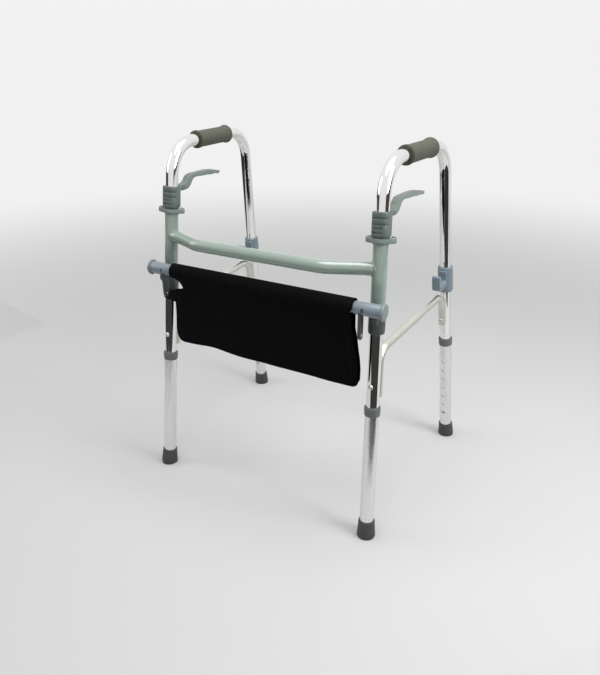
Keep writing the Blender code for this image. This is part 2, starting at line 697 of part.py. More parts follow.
def leg_sleeve(side, materials):
    name = side_name(side)
    profile = [(SLEEVE_BORE_R, SLEEVE_BOTTOM), (SLEEVE_R, SLEEVE_BOTTOM), (SLEEVE_R, SLEEVE_TOP),
               (SLEEVE_BORE_R, SLEEVE_TOP)]
    solid(f"{name}_leg_sleeve", lathe(profile), materials["sage"], leg_matrix(side, "front"))


def front_crossbar(materials):
    """Bowed bar between the sleeves, coped to fit against them."""
    axis = leg_matrix(1, "front")
    t = CROSSBAR_Z / axis.col[2].z
    end = axis @ Vector((0, 0, t))
    half = [end, Vector((0.2120, -0.1790, CROSSBAR_Z)), Vector((0.1450, -0.2080, CROSSBAR_Z))]
    corners = [Vector((-p.x, p.y, p.z)) for p in half] + half[::-1]
    path = rounded_path(corners, 0.060, 4)
    bar = solid("front_crossbar", sweep(path, CROSSBAR_R, None, 14), materials["sage"], Matrix())
    gap = SLEEVE_R + 0.0003
    for side in (-1, 1):
        cope = lathe([(0, 0.48), (gap, 0.48), (gap, 0.62), (0, 0.62)])
        add_boolean(bar, cutter(f"{side_name(side)}_crossbar_cope", cope, leg_matrix(side, "front")),
                    "DIFFERENCE")
        beyond = box((side * 0.2405 if side > 0 else -0.30, -0.25, 0.50),
                     (0.30 if side > 0 else side * 0.2405, -0.12, 0.60))
        add_boolean(bar, cutter(f"{side_name(side)}_crossbar_end", beyond, Matrix()), "DIFFERENCE")


def lozenge(inset, steps):
    """Outline round a large middle circle and a small one at each side, in (x, y)."""
    middle, end = FLANGE_MIDDLE_R - inset, FLANGE_END_R - inset
    meet = math.degrees(math.acos((FLANGE_MIDDLE_R - FLANGE_END_R) / FLANGE_END_X))
    outline = []
    for x, radius, first, last, count in ((FLANGE_END_X, end, -meet, meet, steps),
                                          (0.0, middle, meet, 180 - meet, 3),
                                          (-FLANGE_END_X, end, 180 - meet, 180 + meet, steps),
                                          (0.0, middle, 180 + meet, 360 - meet, 3)):
        for k in range(count + 1):
            a = math.radians(first + (last - first) * k / count)
            outline.append((x + radius * math.cos(a), radius * math.sin(a)))
    return outline


def lock_flange(side, materials):
    """Flange with a lip round each end; the collar's skirt sits in its recess."""
    name = side_name(side)
    leg = leg_matrix(side, "front")
    top = 0.63
    turned = leg @ Matrix.Rotation(FLANGE_TURN, 4, "Z")
    flange = solid(f"{name}_lock_flange", prism(lozenge(0.0, 6), FLANGE_PLATE_BOTTOM, FLANGE_LIP_TOP),
                   materials["dark"], turned)
    tray = prism(lozenge(LIP_WIDTH, 6), FLANGE_PLATE_TOP, top)
    add_boolean(flange, cutter(f"{name}_flange_tray", tray, turned), "DIFFERENCE")
    middle = box((-LIP_INNER_X, -0.03, FLANGE_PLATE_TOP), (LIP_INNER_X, 0.03, top))
    add_boolean(flange, cutter(f"{name}_flange_middle", middle, turned), "DIFFERENCE")
    boss = lathe([(0, FLANGE_BOTTOM), (0.0150, FLANGE_BOTTOM), (0.0156, FLANGE_PLATE_BOTTOM + 0.001),
                  (0, FLANGE_PLATE_BOTTOM + 0.001)])
    add_boolean(flange, cutter(f"{name}_flange_boss", boss, leg), "UNION")
    hollow = lathe([(0, 0.60), (SLEEVE_BORE_R, 0.60), (SLEEVE_BORE_R, RECESS_FLOOR),
                    (RECESS_R, RECESS_FLOOR), (RECESS_R, top), (0, top)])
    add_boolean(flange, cutter(f"{name}_flange_hollow", hollow, leg), "DIFFERENCE")


def finger_outline(steps):
    """Finger from inside the barrel down to its round lower end, in (y, z)."""
    outline = [(FINGER_Y + FINGER_HALF_Y, 0.4920), (FINGER_Y - FINGER_HALF_Y, 0.4920)]
    for k in range(steps + 1):
        a = math.radians(180 + 180 * k / steps)
        outline.append((FINGER_Y + FINGER_HALF_Y * math.cos(a),
                        FINGER_BOTTOM + FINGER_HALF_Y * (1 + math.sin(a))))
    return outline


def seat_bracket(side, materials):
    """Collar round the front leg, barrel round the seat bar and a hanging finger."""
    name = side_name(side)
    leg = leg_matrix(side, "front")
    collar = lathe([(0, BRACKET_BOTTOM), (0.0152, BRACKET_BOTTOM), (0.0160, BRACKET_BOTTOM + 0.006),
                    (0.0160, BRACKET_TOP), (0, BRACKET_TOP)])
    body = solid(f"{name}_seat_bracket", collar, materials["dark"], leg)
    turn = Matrix.Translation((0, BAR_Y, BAR_Z)) @ Matrix.Rotation(math.radians(90 * side), 4, "Y")
    inner, outer = BARREL_INNER_X[side], BAR_END_X[side]
    barrel = moved(lathe([(0, inner), (BARREL_INNER_R, inner), (BARREL_R, outer), (0, outer)]), turn)
    add_boolean(body, cutter(f"{name}_barrel_shape", barrel, Matrix()), "UNION")
    low_x, high_x = sorted((side * 0.2405, side * 0.2541))
    web = box((low_x, -0.2050, 0.4640), (high_x, -0.1940, 0.4940))
    add_boolean(body, cutter(f"{name}_web_shape", web, Matrix()), "UNION")
    low_x, high_x = sorted((side * 0.2415, side * 0.2531))
    heel = box((low_x, -0.2020, 0.4600), (high_x, -0.1830, 0.4790))
    add_boolean(body, cutter(f"{name}_heel_shape", heel, Matrix()), "UNION")
    low_x, high_x = sorted((side * FINGER_INNER_X[side], side * FINGER_OUTER_X[side]))
    finger = moved(prism(finger_outline(6), low_x, high_x), UPRIGHT)
    add_boolean(body, cutter(f"{name}_finger_shape", finger, Matrix()), "UNION")
    bar_hole = lathe([(0, 0.20), (BAR_R + CLEARANCE, 0.20), (BAR_R + CLEARANCE, 0.28), (0, 0.28)], 18)
    add_boolean(body, cutter(f"{name}_bar_hole", moved(bar_hole, turn), Matrix()), "DIFFERENCE")
    hole = across_rod(0.0019, *sorted((side * 0.2150, side * 0.2400)), FINGER_Y, FINGER_RIVET_Z, 10)
    add_boolean(body, cutter(f"{name}_finger_hole", hole, Matrix()), "DIFFERENCE")
    bore = lathe([(0, 0.43), (SLEEVE_BORE_R, 0.43), (SLEEVE_BORE_R, 0.4950), (0, 0.4950)])
    add_boolean(body, cutter(f"{name}_bracket_bore", bore, leg), "DIFFERENCE")


def seat_bar(materials):
    turn = Matrix.Translation((0, BAR_Y, BAR_Z)) @ Matrix.Rotation(math.radians(90), 4, "Y")
    left, right = -BAR_END_X[-1], BAR_END_X[1]
    profile = [(BAR_BORE_R, left), (BAR_R, left), (BAR_R, right), (BAR_BORE_R, right)]
    solid("seat_bar", moved(lathe(profile, 18), turn), materials["blue"], Matrix())


def bar_end_cap(side, materials):
    """Flat head with a rounded edge over the barrel's end, its plug inside the bar."""
    turn = Matrix.Translation((0, BAR_Y, BAR_Z)) @ Matrix.Rotation(math.radians(90 * side), 4, "Y")
    plug, seat = BAR_BORE_R - CLEARANCE, BAR_END_X[side] + CLEARANCE
    profile = [(0, seat - 0.0100), (plug, seat - 0.0100), (plug, seat), (0.0150, seat),
               (0.0160, seat + 0.0012), (0.0163, seat + 0.0026), (0.0156, seat + 0.0044),
               (0.0138, seat + 0.0058), (0.0115, seat + 0.0062), (0, seat + 0.0062)]
    solid(f"{side_name(side)}_bar_end_cap", moved(lathe(profile, 18), turn), materials["blue"], Matrix())


def finger_rivet(side, materials):
    """Rivet through the finger's lower end, a low head on each face."""
    inner, outer = FINGER_INNER_X[side] - CLEARANCE, FINGER_OUTER_X[side] + CLEARANCE
    profile = [(0, inner - 0.0011), (0.0020, inner - 0.0010), (0.0028, inner), (0.0016, inner),
               (0.0016, outer), (0.0028, outer), (0.0020, outer + 0.0010), (0, outer + 0.0011)]
    turn = (Matrix.Translation((0, FINGER_Y, FINGER_RIVET_Z))
            @ Matrix.Rotation(math.radians(90 * side), 4, "Y"))
    solid(f"{side_name(side)}_finger_rivet", moved(lathe(profile, 10), turn), materials["steel"], Matrix())


def edge_at(edge, height):
    """The x of a sling edge, given as (height, x) points from the top, at a height."""
    for (high, x_high), (low, x_low) in zip(edge, edge[1:]):
        if height >= low:
            f = min(1.0, (high - height) / (high - low))
            return x_high + (x_low - x_high) * f
    return edge[-1][1]


def corner_lift(inward, radius):
    """How far a rounded lower corner rises, at a distance in from the side edge."""
    if inward >= radius:
        return 0.0
    return radius - math.sqrt(radius ** 2 - (radius - inward) ** 2)


def seat_sling(materials):
    """Doubled cloth that hangs from the seat bar in one loop, hem round the bar."""
    left, right = SLING_LEFT[-1][1], SLING_RIGHT[-1][1]
    near = (0.0, 0.06, 0.25, 0.55, 1.0)
    across = [left + SLING_CORNER_R[-1] * k for k in near]
    across += [left + SLING_CORNER_R[-1] + (right - left - sum(SLING_CORNER_R.values())) * k / 10
               for k in range(1, 10)]
    across += [right - SLING_CORNER_R[1] * k for k in reversed(near)]
    verts, faces = [], []
    for x in across:
        f = (x - left) / (right - left)
        lift = corner_lift(x - left, SLING_CORNER_R[-1]) + corner_lift(right - x, SLING_CORNER_R[1])
        rise = SLING_RISE * math.exp(-((x - SLING_RISE_X) / SLING_RISE_WIDTH) ** 2)
        bottom = SLING_BOTTOM + rise + lift
        wave = 0.0014 * math.sin(26.0 * x)
        outer = bar_loop(HEM_R, bottom, wave, 0.0)
        inner = bar_loop(HEM_R - SLING_THICK, bottom, wave, SLING_THICK)
        ring_size = len(outer)
        for y, z in outer + inner:
            drop = BACK_NOTCH_DROP * min(1.0, max(0.0, (y - SLING_FRONT_Y) / (SLING_BACK_Y - SLING_FRONT_Y)))
            low_x, high_x = edge_at(SLING_LEFT, z + drop), edge_at(SLING_RIGHT, z)
            verts.append(Vector((low_x + (high_x - low_x) * f, y, z)))
    step = 2 * ring_size
    columns = len(across) - 1
    for i in range(columns):
        for layer in (0, ring_size):
            for k in range(ring_size):
                j = (k + 1) % ring_size
                faces.append((i * step + layer + k, i * step + layer + j,
                              (i + 1) * step + layer + j, (i + 1) * step + layer + k))
    for end in (0, columns):
        for k in range(ring_size):
            j = (k + 1) % ring_size
            faces.append((end * step + k, end * step + j, end * step + ring_size + j,
                          end * step + ring_size + k))
    solid("seat_sling", (verts, faces), materials["cloth"], Matrix())


def bar_loop(radius, bottom, wave, inset):
    """Closed (y, z) outline of the hem round the bar and the two hanging layers."""
    points = []
    for k in range(9):
        a = math.radians(-46 + 268 * k / 8)
        points.append((BAR_Y + radius * math.cos(a), BAR_Z + radius * math.sin(a)))
    front, back = SLING_FRONT_Y + inset, SLING_BACK_Y - inset
    levels = ((0.4738, 0.1), (0.4684, 0.2), (0.4625, 0.3), (0.4595, 0.4), (0.4377, 0.7), (0.4120, 1.0),
              (0.3850, 1.0), (0.3620, 0.6))
    for z, swing in levels:
        points.append((front + wave * swing, z))
    points.append((front + wave * 0.2 + 0.0005, bottom + 0.008 + inset))
    points.append((front + 0.0035, bottom + 0.0015 + inset))
    points.append((0.5 * (front + back), bottom + inset))
    points.append((back - 0.0035, bottom + 0.0015 + inset))
    points.append((back + wave * 0.2 - 0.0005, bottom + 0.008 + inset))
    for z, swing in reversed(levels):
        points.append((back + wave * swing * 0.8, max(z - BACK_NOTCH_DROP, bottom + 0.014)))
    return points


def sling_strap(materials):
    """Webbing loop from the sling's left edge round the left front leg."""
    leg = leg_matrix(-1, "front")
    low, high = 0.4212, 0.4395
    outer, inner = 0.0151, 0.0133
    edge = leg.inverted() @ Vector(STRAP_ANCHOR)
    reach = math.hypot(edge.x, edge.y)
    aim = math.atan2(edge.y, edge.x)
    spread = math.acos(outer / reach)
    outline = []
    for k in range(15):
        a = aim + spread + (2 * math.pi - 2 * spread) * k / 14
        outline.append((outer * math.cos(a), outer * math.sin(a)))
    tip_dir = Vector((math.cos(aim), math.sin(aim)))
    tip_side = Vector((-tip_dir.y, tip_dir.x))
    for offset in (-0.0011, 0.0011):
        point = tip_dir * (reach - 0.0006) + tip_side * offset
        outline.append((point.x, point.y))
    strap = solid("sling_strap", prism(outline, low, high), materials["web"], leg)
    hole = lathe([(0, 0.40), (inner, 0.40), (inner, 0.46), (0, 0.46)])
    add_boolean(strap, cutter("strap_bore", hole, leg), "DIFFERENCE")


def build():
    clear_scene()
    materials = make_materials()
    front_crossbar(materials)
    seat_bar(materials)
    seat_sling(materials)
    sling_strap(materials)
    for side in (-1, 1):
        leg_sleeve(side, materials)
        lock_flange(side, materials)
        seat_bracket(side, materials)
        finger_rivet(side, materials)
        bar_end_cap(side, materials)
        frame_tube(side, materials)
        side_brace(side, materials)
        hand_grip(side, materials)
        rear_hook_clamp(side, materials)
        clamp_screw(side, materials)
        stop_ring(side, materials)
        lock_spring(side, materials)
        lock_collar(side, materials)
        lever_pin(side, materials)
        release_lever(side, materials)
        for which, facing in (("front", 1), ("rear", -1)):
            brace_rivet(side, which, facing, materials)
            snap_spring(side, which, facing, materials)
            snap_button(side, which, facing, materials)
            leg_tube(side, which, facing, materials)
            ring_collar(side, which, materials)
            rubber_tip(side, which, materials)


build()
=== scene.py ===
# %% [markdown]
# # A folding walking frame with a sling seat
# This lesson dresses a walking frame for a studio picture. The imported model
# gives the bodies and their joints; every piece below is modelled to sit on
# the same spot and rides on its body, so the walker can still be folded.

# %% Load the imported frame
import math

import bmesh
import bpy
from mathutils import Matrix, Quaternion, Vector, noise


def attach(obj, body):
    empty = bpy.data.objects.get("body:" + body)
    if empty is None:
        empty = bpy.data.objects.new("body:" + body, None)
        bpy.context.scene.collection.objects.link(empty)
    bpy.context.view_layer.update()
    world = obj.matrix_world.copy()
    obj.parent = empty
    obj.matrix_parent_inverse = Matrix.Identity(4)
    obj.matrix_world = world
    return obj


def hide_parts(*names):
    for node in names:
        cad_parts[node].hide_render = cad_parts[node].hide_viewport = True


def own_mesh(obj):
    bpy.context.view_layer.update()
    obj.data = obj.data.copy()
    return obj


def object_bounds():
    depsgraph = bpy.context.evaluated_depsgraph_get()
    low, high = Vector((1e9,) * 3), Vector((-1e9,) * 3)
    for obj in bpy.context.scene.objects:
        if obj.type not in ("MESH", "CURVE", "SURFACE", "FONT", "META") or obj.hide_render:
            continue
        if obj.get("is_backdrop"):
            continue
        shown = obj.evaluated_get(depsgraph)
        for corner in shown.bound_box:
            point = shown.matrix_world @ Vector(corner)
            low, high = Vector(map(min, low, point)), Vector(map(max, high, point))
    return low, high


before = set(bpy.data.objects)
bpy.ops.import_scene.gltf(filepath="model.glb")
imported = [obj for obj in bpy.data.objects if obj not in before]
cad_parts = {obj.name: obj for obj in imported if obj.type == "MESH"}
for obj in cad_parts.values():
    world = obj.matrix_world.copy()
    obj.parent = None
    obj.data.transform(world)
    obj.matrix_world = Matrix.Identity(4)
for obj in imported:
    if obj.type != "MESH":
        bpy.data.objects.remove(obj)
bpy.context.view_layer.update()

# %% [markdown]
# ## The camera
# The photograph was taken from the front right, a little above the grips,
# with a normal lens. The eye point, the line of sight and the slight tilt
# were solved from the four feet and the two handle tubes.

# %% Camera
EYE = Vector((0.6477, -1.1670, 0.9111))
SIGHT = Vector((-0.4531, 0.7886, -0.4157))
TILT = -0.0041
FOCAL_PIXELS = 622.9
PICTURE_LONG_SIDE = 675


def linked(name, data):
    """A new object, in the scene."""
    item = bpy.data.objects.new(name, data)
    bpy.context.scene.collection.objects.link(item)
    return item


lens = bpy.data.cameras.new("camera")
camera = linked("camera", lens)
bpy.context.scene.camera = camera
lens.sensor_width = 36.0
lens.lens = 36.0 * FOCAL_PIXELS / PICTURE_LONG_SIDE
camera.location = EYE
camera.rotation_mode = "QUATERNION"
camera.rotation_quaternion = SIGHT.to_track_quat("-Z", "Y") @ Quaternion((0, 0, 1), TILT)
bpy.context.scene.view_settings.view_transform = "Standard"
print("lens", round(lens.lens, 2), "mm")

# %% [markdown]
# ## Where things are
# Each side frame lies in one plane that leans inwards and toes out. It is
# easiest to model in that plane, with Y towards the user and Z up, and on
# each leg with Z along the tube. These two helpers give those places.

# %% Side planes and legs
FRONT_FOOT = (0.2628, -0.2258)
PLANE_TOE_OUT = 0.0552
PLANE_LEAN_IN = 0.0450
LEG_SLOPE = {"front": 0.0958, "rear": -0.1368}
LEG_START = {"front": 0.0, "rear": 0.4523}
FACING = {"front": 1, "rear": -1}
SIDES = {"left": -1, "right": 1}
HANDLE_HEIGHT = 0.7436


def side_place(side):
    """The plane of one side frame: X across, Y towards the user, Z up in the plane."""
    sign = SIDES[side]
    across = Vector((1.0, -sign * PLANE_TOE_OUT, sign * PLANE_LEAN_IN)).normalized()
    back = Vector((sign * PLANE_TOE_OUT, 1.0, 0.0)).normalized()
    back = (back - across * back.dot(across)).normalized()
    place = Matrix((across, back, across.cross(back))).transposed().to_4x4()
    place.translation = Vector((sign * FRONT_FOOT[0], FRONT_FOOT[1], 0.0))
    return place


def leg_place(side, leg):
    """One leg: Z runs up its axis from the floor, Y towards the user."""
    turn = Matrix.Rotation(-math.atan(LEG_SLOPE[leg]), 4, "X")
    return side_place(side) @ Matrix.Translation((0.0, LEG_START[leg], 0.0)) @ turn


def facing_turn(leg, height):
    """Turns a lathe's Z away from the leg, into the middle of the side frame."""
    return (Matrix.Translation((0, 0, height))
            @ Matrix.Rotation(math.radians(-90 * FACING[leg]), 4, "X"))


def across_turn(sign, y, z):
    """Turns a lathe's Z to point outwards along X, at (y, z)."""
    return Matrix.Translation((0, y, z)) @ Matrix.Rotation(math.radians(90 * sign), 4, "Y")


UPRIGHT_PLATE = Matrix(((0, 0, 1, 0), (1, 0, 0, 0), (0, 1, 0, 0), (0, 0, 0, 1)))
for side in SIDES:
    foot = leg_place(side, "rear").translation
    print(side, "rear foot at", [round(v, 3) for v in foot])

# %% [markdown]
# ## Helpers for shapes
# Most parts of a walker are turned or bent tube. A lathe profile and a swept
# circle make those; a flat outline raised to a plate makes the rest. Corners
# are rounded in the outline itself, because a real edge always has a radius
# and that radius is what catches the light.

# %% Outlines with rounded corners
def rounded(points, radius, steps=3, keep=()):
    """Closed 2D outline with each corner rounded, but for the indices in keep."""
    result = []
    count = len(points)
    for i, corner in enumerate(points):
        corner = Vector(corner)
        before = Vector(points[i - 1]) - corner
        after = Vector(points[(i + 1) % count]) - corner
        if i in keep or before.length < 1e-7 or after.length < 1e-7:
            result.append(tuple(corner))
            continue
        cut = min(radius, 0.45 * before.length, 0.45 * after.length)
        first = corner + before.normalized() * cut
        last = corner + after.normalized() * cut
        if first.cross(last) == 0 and abs(before.normalized().dot(after.normalized())) > 0.999:
            result.append(tuple(corner))
            continue
        for k in range(steps + 1):
            t = k / steps
            result.append(tuple(first.lerp(corner, t).lerp(corner.lerp(last, t), t)))
    return result


def turned(profile, sides=48):
    """Closed (radius, height) outline turned about Z."""
    verts, rings = [], []
    for radius, height in profile:
        if radius < 1e-6:
            rings.append([len(verts)] * sides)
            verts.append(Vector((0.0, 0.0, height)))
            continue
        rings.append(list(range(len(verts), len(verts) + sides)))
        for k in range(sides):
            a = 2.0 * math.pi * k / sides
            verts.append(Vector((radius * math.cos(a), radius * math.sin(a), height)))
    faces = []
    for one, two in zip(rings, rings[1:] + rings[:1]):
        for k in range(sides):
            j = (k + 1) % sides
            corners = []
            for index in (one[k], one[j], two[j], two[k]):
                if index not in corners:
                    corners.append(index)
            if len(corners) > 2:
                faces.append(tuple(corners))
    return verts, faces


def rod(radius, low, high, sides=48):
    """Plain round bar along Z, mostly used to cut a bore."""
    return turned([(0, low), (radius, low), (radius, high), (0, high)], sides)


def plate(outline, low, high):
    """Flat (x, y) outline raised from z = low to z = high."""
    count = len(outline)
    verts = [Vector((x, y, low)) for x, y in outline]
    verts += [Vector((x, y, high)) for x, y in outline]
    faces = [tuple(reversed(range(count))), tuple(range(count, 2 * count))]
    for k in range(count):
        j = (k + 1) % count
        faces.append((k, j, count + j, count + k))
    return verts, faces


def block(low, high):
    (x0, y0, z0), (x1, y1, z1) = low, high
    return plate([(x0, y0), (x1, y0), (x1, y1), (x0, y1)], z0, z1)


print("rounded square:", len(rounded([(0, 0), (1, 0), (1, 1), (0, 1)], 0.1)), "points")

# %% Bent tubes
def bent_path(corners, radius, steps):
    """Corner points joined by straights, with an arc at each inner corner."""
    path = [corners[0]]
    for before, corner, after in zip(corners, corners[1:], corners[2:]):
        back = (before - corner).normalized()
        ahead = (after - corner).normalized()
        half = 0.5 * back.angle(ahead)
        reach = radius / math.tan(half)
        centre = corner + (back + ahead).normalized() * (radius / math.sin(half))
        first = corner + back * reach - centre
        last = corner + ahead * reach - centre
        turn = first.angle(last)
        for k in range(steps + 1):
            f = k / steps
            arm = first * math.sin((1 - f) * turn) + last * math.sin(f * turn)
            path.append(centre + arm / math.sin(turn))
    path.append(corners[-1])
    return path


def swept(path, radius, bore=None, sides=40, closed=False):
    """Round bar along a path, or a pipe if a bore is given; a radius can vary."""
    count = len(path)
    radii = list(radius) if isinstance(radius, (list, tuple)) else [radius] * count
    tangents = []
    for i in range(count):
        if closed:
            tangents.append((path[(i + 1) % count] - path[i - 1]).normalized())
        else:
            tangents.append((path[min(i + 1, count - 1)] - path[max(i - 1, 0)]).normalized())
    across = tangents[0].orthogonal().normalized()
    layers = [radii] if bore is None else [radii, [bore] * count]
    verts, rings = [], [[] for _ in layers]
    for i in range(count):
        across = (across - tangents[i] * across.dot(tangents[i])).normalized()
        other = tangents[i].cross(across)
        for layer, sizes in enumerate(layers):
            ring = []
            for k in range(sides):
                a = 2.0 * math.pi * k / sides
                ring.append(len(verts))
                verts.append(path[i] + (across * math.cos(a) + other * math.sin(a)) * sizes[i])
            rings[layer].append(ring)
    faces = []
    for layer in rings:
        pairs = list(zip(layer, layer[1:])) + ([(layer[-1], layer[0])] if closed else [])
        for one, two in pairs:
            for k in range(sides):
                j = (k + 1) % sides
                faces.append((one[k], one[j], two[j], two[k]))
    for end in (() if closed else (0, -1)):
        if bore is None:
            faces.append(tuple(rings[0][end]))
            continue
        outer, inner = rings[0][end], rings[1][end]
        for k in range(sides):
            j = (k + 1) % sides
            faces.append((outer[k], outer[j], inner[j], inner[k]))
    return verts, faces


def moved(shape, place):
    verts, faces = shape
    return [place @ v for v in verts], faces


def together(shapes):
    verts, faces = [], []
    for some_verts, some_faces in shapes:
        base = len(verts)
        verts += some_verts
        faces += [tuple(base + i for i in face) for face in some_faces]
    return verts, faces


print("a 40-sided pipe has", len(swept([Vector(), Vector((0, 0, 1))], 0.01, 0.009)[1]), "faces")

# %% [markdown]
# ## From shape to piece
# A piece is a mesh object with its own finish. It is placed, dressed, and
# then rides on one body of the imported model. Where it stands for a packed
# node, that node is hidden. Holes and joined shapes use Booleans, applied at once.

# %% Making, joining and carving pieces
def raw_object(name, shape, place):
    verts, faces = shape
    mesh = bpy.data.meshes.new(name)
    mesh.from_pydata([tuple(v) for v in verts], [], faces)
    mesh.validate()
    shape = bmesh.new()
    shape.from_mesh(mesh)
    bmesh.ops.remove_doubles(shape, verts=shape.verts, dist=1e-7)
    bmesh.ops.recalc_face_normals(shape, faces=shape.faces)
    shape.to_mesh(mesh)
    shape.free()
    item = linked(name, mesh)
    item.matrix_world = place
    return item


def bake_modifiers(item):
    bpy.context.view_layer.update()
    graph = bpy.context.evaluated_depsgraph_get()
    mesh = bpy.data.meshes.new_from_object(item.evaluated_get(graph))
    clean = bmesh.new()
    clean.from_mesh(mesh)
    bmesh.ops.remove_doubles(clean, verts=clean.verts, dist=2e-6)
    bmesh.ops.dissolve_degenerate(clean, edges=clean.edges, dist=1e-6)
    clean.to_mesh(mesh)
    clean.free()
    old = item.data
    item.modifiers.clear()
    item.data = mesh
    mesh.name = item.name
    bpy.data.meshes.remove(old)


def boolean(item, shape, operation, place=None):
    tool = raw_object("tool", shape, item.matrix_world if place is None else place)
    modifier = item.modifiers.new("boolean", "BOOLEAN")
    modifier.operation = operation
    modifier.solver = "EXACT"
    modifier.object = tool
    bake_modifiers(item)
    bpy.data.objects.remove(tool, do_unlink=True)


def soften(item, width, segments=2, angle=35):
    modifier = item.modifiers.new("edges", "BEVEL")
    modifier.width = width
    modifier.segments = segments
    modifier.limit_method = "ANGLE"
    modifier.angle_limit = math.radians(angle)
    modifier.use_clamp_overlap = True
    bake_modifiers(item)


def thicken(item, thickness):
    modifier = item.modifiers.new("thickness", "SOLIDIFY")
    modifier.thickness = thickness
    modifier.offset = 0.0
    bake_modifiers(item)


def dress(item, body, finish, stands_for=(), angle=40):
    """Gives the piece its finish and its body, and hides the node it stands for."""
    item.data.materials.clear()
    item.data.materials.append(finish)
    item.data.shade_smooth()
    item.data.set_sharp_from_angle(angle=math.radians(angle))
    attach(item, body)
    if stands_for:
        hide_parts(*stands_for)
    return item


def piece(name, shape, place, body, finish, stands_for=(), angle=40):
    item = raw_object(name, shape, place)
    return dress(item, body, finish, stands_for, angle)


print("helpers ready")

# %% [markdown]
# ## Finishes
# A walker is a mix of mirror chrome, satin aluminium, painted steel, moulded
# plastic, foam, rubber and cloth. None is one flat colour: each finish mixes
# two close colours through noise, lets the roughness drift, and adds the
# small relief that the real surface has, at its real scale.

# %% A finish with drift in colour, roughness and relief
FINE_GRAIN = (900.0, 900.0, 900.0)


def add(tree, kind, settings=(), values=()):
    """A new node with its settings, and then its sockets' plain values."""
    node = tree.nodes.new(kind)
    for name, value in dict(settings).items():
        setattr(node, name, value)
    for name, value in dict(values).items():
        node.inputs[name].default_value = value
    return node


def node_material(name):
    material = bpy.data.materials.new(name)
    material.use_nodes = True
    return material, material.node_tree, material.node_tree.nodes["Principled BSDF"]


def colour_mix(tree, factor, one, two, shader):
    """The shader's colour runs between two colours with the factor."""
    mix = add(tree, "ShaderNodeMix", {"data_type": "RGBA"}, {"A": (*one, 1.0), "B": (*two, 1.0)})
    tree.links.new(factor, mix.inputs["Factor"])
    tree.links.new(mix.outputs["Result"], shader.inputs["Base Color"])


def relief_from(tree, height, strength, distance, shader):
    bump = add(tree, "ShaderNodeBump", (), {"Strength": strength, "Distance": distance})
    tree.links.new(height, bump.inputs["Height"])
    tree.links.new(bump.outputs["Normal"], shader.inputs["Normal"])


def finish(name, colour, other, rough, rough_drift, metal=0.0, patch=60.0, grain=FINE_GRAIN,
           relief=0.0, coat=0.0, specular=0.5):
    material, tree, shader = node_material(name)
    material.diffuse_color = (*colour, 1.0)
    for socket, value in (("Metallic", metal), ("Coat Weight", coat), ("Coat Roughness", 0.12),
                          ("Specular IOR Level", specular)):
        shader.inputs[socket].default_value = value
    where = add(tree, "ShaderNodeTexCoord")
    patches = add(tree, "ShaderNodeTexNoise", (), {"Scale": patch, "Detail": 4.0})
    tree.links.new(where.outputs["Object"], patches.inputs["Vector"])
    stretch = add(tree, "ShaderNodeMapping", (), {"Scale": grain})
    tree.links.new(where.outputs["Object"], stretch.inputs["Vector"])
    grains = add(tree, "ShaderNodeTexNoise", (), {"Scale": 1.0, "Detail": 3.0})
    tree.links.new(stretch.outputs["Vector"], grains.inputs["Vector"])
    both = add(tree, "ShaderNodeMix", {"data_type": "FLOAT"}, {"Factor": 0.5})
    tree.links.new(patches.outputs["Fac"], both.inputs["A"])
    tree.links.new(grains.outputs["Fac"], both.inputs["B"])
    colour_mix(tree, both.outputs["Result"], colour, other, shader)
    drift = add(tree, "ShaderNodeMapRange", (), {"From Min": 0.3, "From Max": 0.7, "To Min": rough,
                                                 "To Max": rough + rough_drift})
    tree.links.new(both.outputs["Result"], drift.inputs["Value"])
    tree.links.new(drift.outputs["Result"], shader.inputs["Roughness"])
    if relief:
        relief_from(tree, grains.outputs["Fac"], 0.6, relief, shader)
    return material


def plastic(name, colour, other, rough):
    return finish(name, colour, other, rough, 0.14, patch=70.0, relief=0.00005)


CHROME = finish("mirror_chrome", (0.88, 0.87, 0.86), (0.78, 0.775, 0.765), 0.035, 0.05,
                metal=1.0, patch=18.0, grain=(260.0, 260.0, 9.0), relief=0.000004)
SATIN = finish("satin_aluminium", (0.84, 0.84, 0.83), (0.72, 0.72, 0.71), 0.20, 0.12,
               metal=1.0, patch=14.0, grain=(700.0, 700.0, 14.0), relief=0.00002)
NICKEL = finish("satin_brace_tube", (0.68, 0.67, 0.61), (0.60, 0.59, 0.535), 0.30, 0.10,
                metal=1.0, patch=25.0, grain=(240.0, 60.0, 60.0), relief=0.00001)
SAGE = finish("sage_powder_coat", (0.272, 0.345, 0.300), (0.236, 0.302, 0.260), 0.20, 0.08,
              patch=40.0, relief=0.00002, coat=0.8)
GREY_GREEN = plastic("grey_green_plastic", (0.135, 0.168, 0.150), (0.105, 0.133, 0.119), 0.36)
RING_GREY = plastic("ring_plastic", (0.135, 0.145, 0.139), (0.108, 0.118, 0.112), 0.38)
BLUE_GREY = plastic("blue_grey_plastic", (0.195, 0.245, 0.290), (0.160, 0.205, 0.245), 0.34)
FLANGE_GREY = plastic("flange_plastic", (0.235, 0.285, 0.266), (0.190, 0.232, 0.217), 0.36)
LEVER_GREY = plastic("lever_plastic", (0.215, 0.258, 0.238), (0.165, 0.200, 0.185), 0.34)
# The dark bracket plastic also lines the slit in each barrel, as painted shade.
BRACKET_GREY_AND_SLIT_SHADE = plastic("bracket_plastic_and_slit_shade", (0.072, 0.080, 0.078), (0.052, 0.058, 0.057), 0.32)
BARREL_GREY = plastic("barrel_plastic", (0.215, 0.262, 0.300), (0.178, 0.218, 0.252), 0.30)
CAP_GREY = plastic("cap_plastic", (0.215, 0.255, 0.262), (0.175, 0.210, 0.218), 0.34)
RUBBER = finish("tip_rubber", (0.052, 0.053, 0.053), (0.034, 0.035, 0.035), 0.50, 0.20,
                patch=90.0, relief=0.00010)
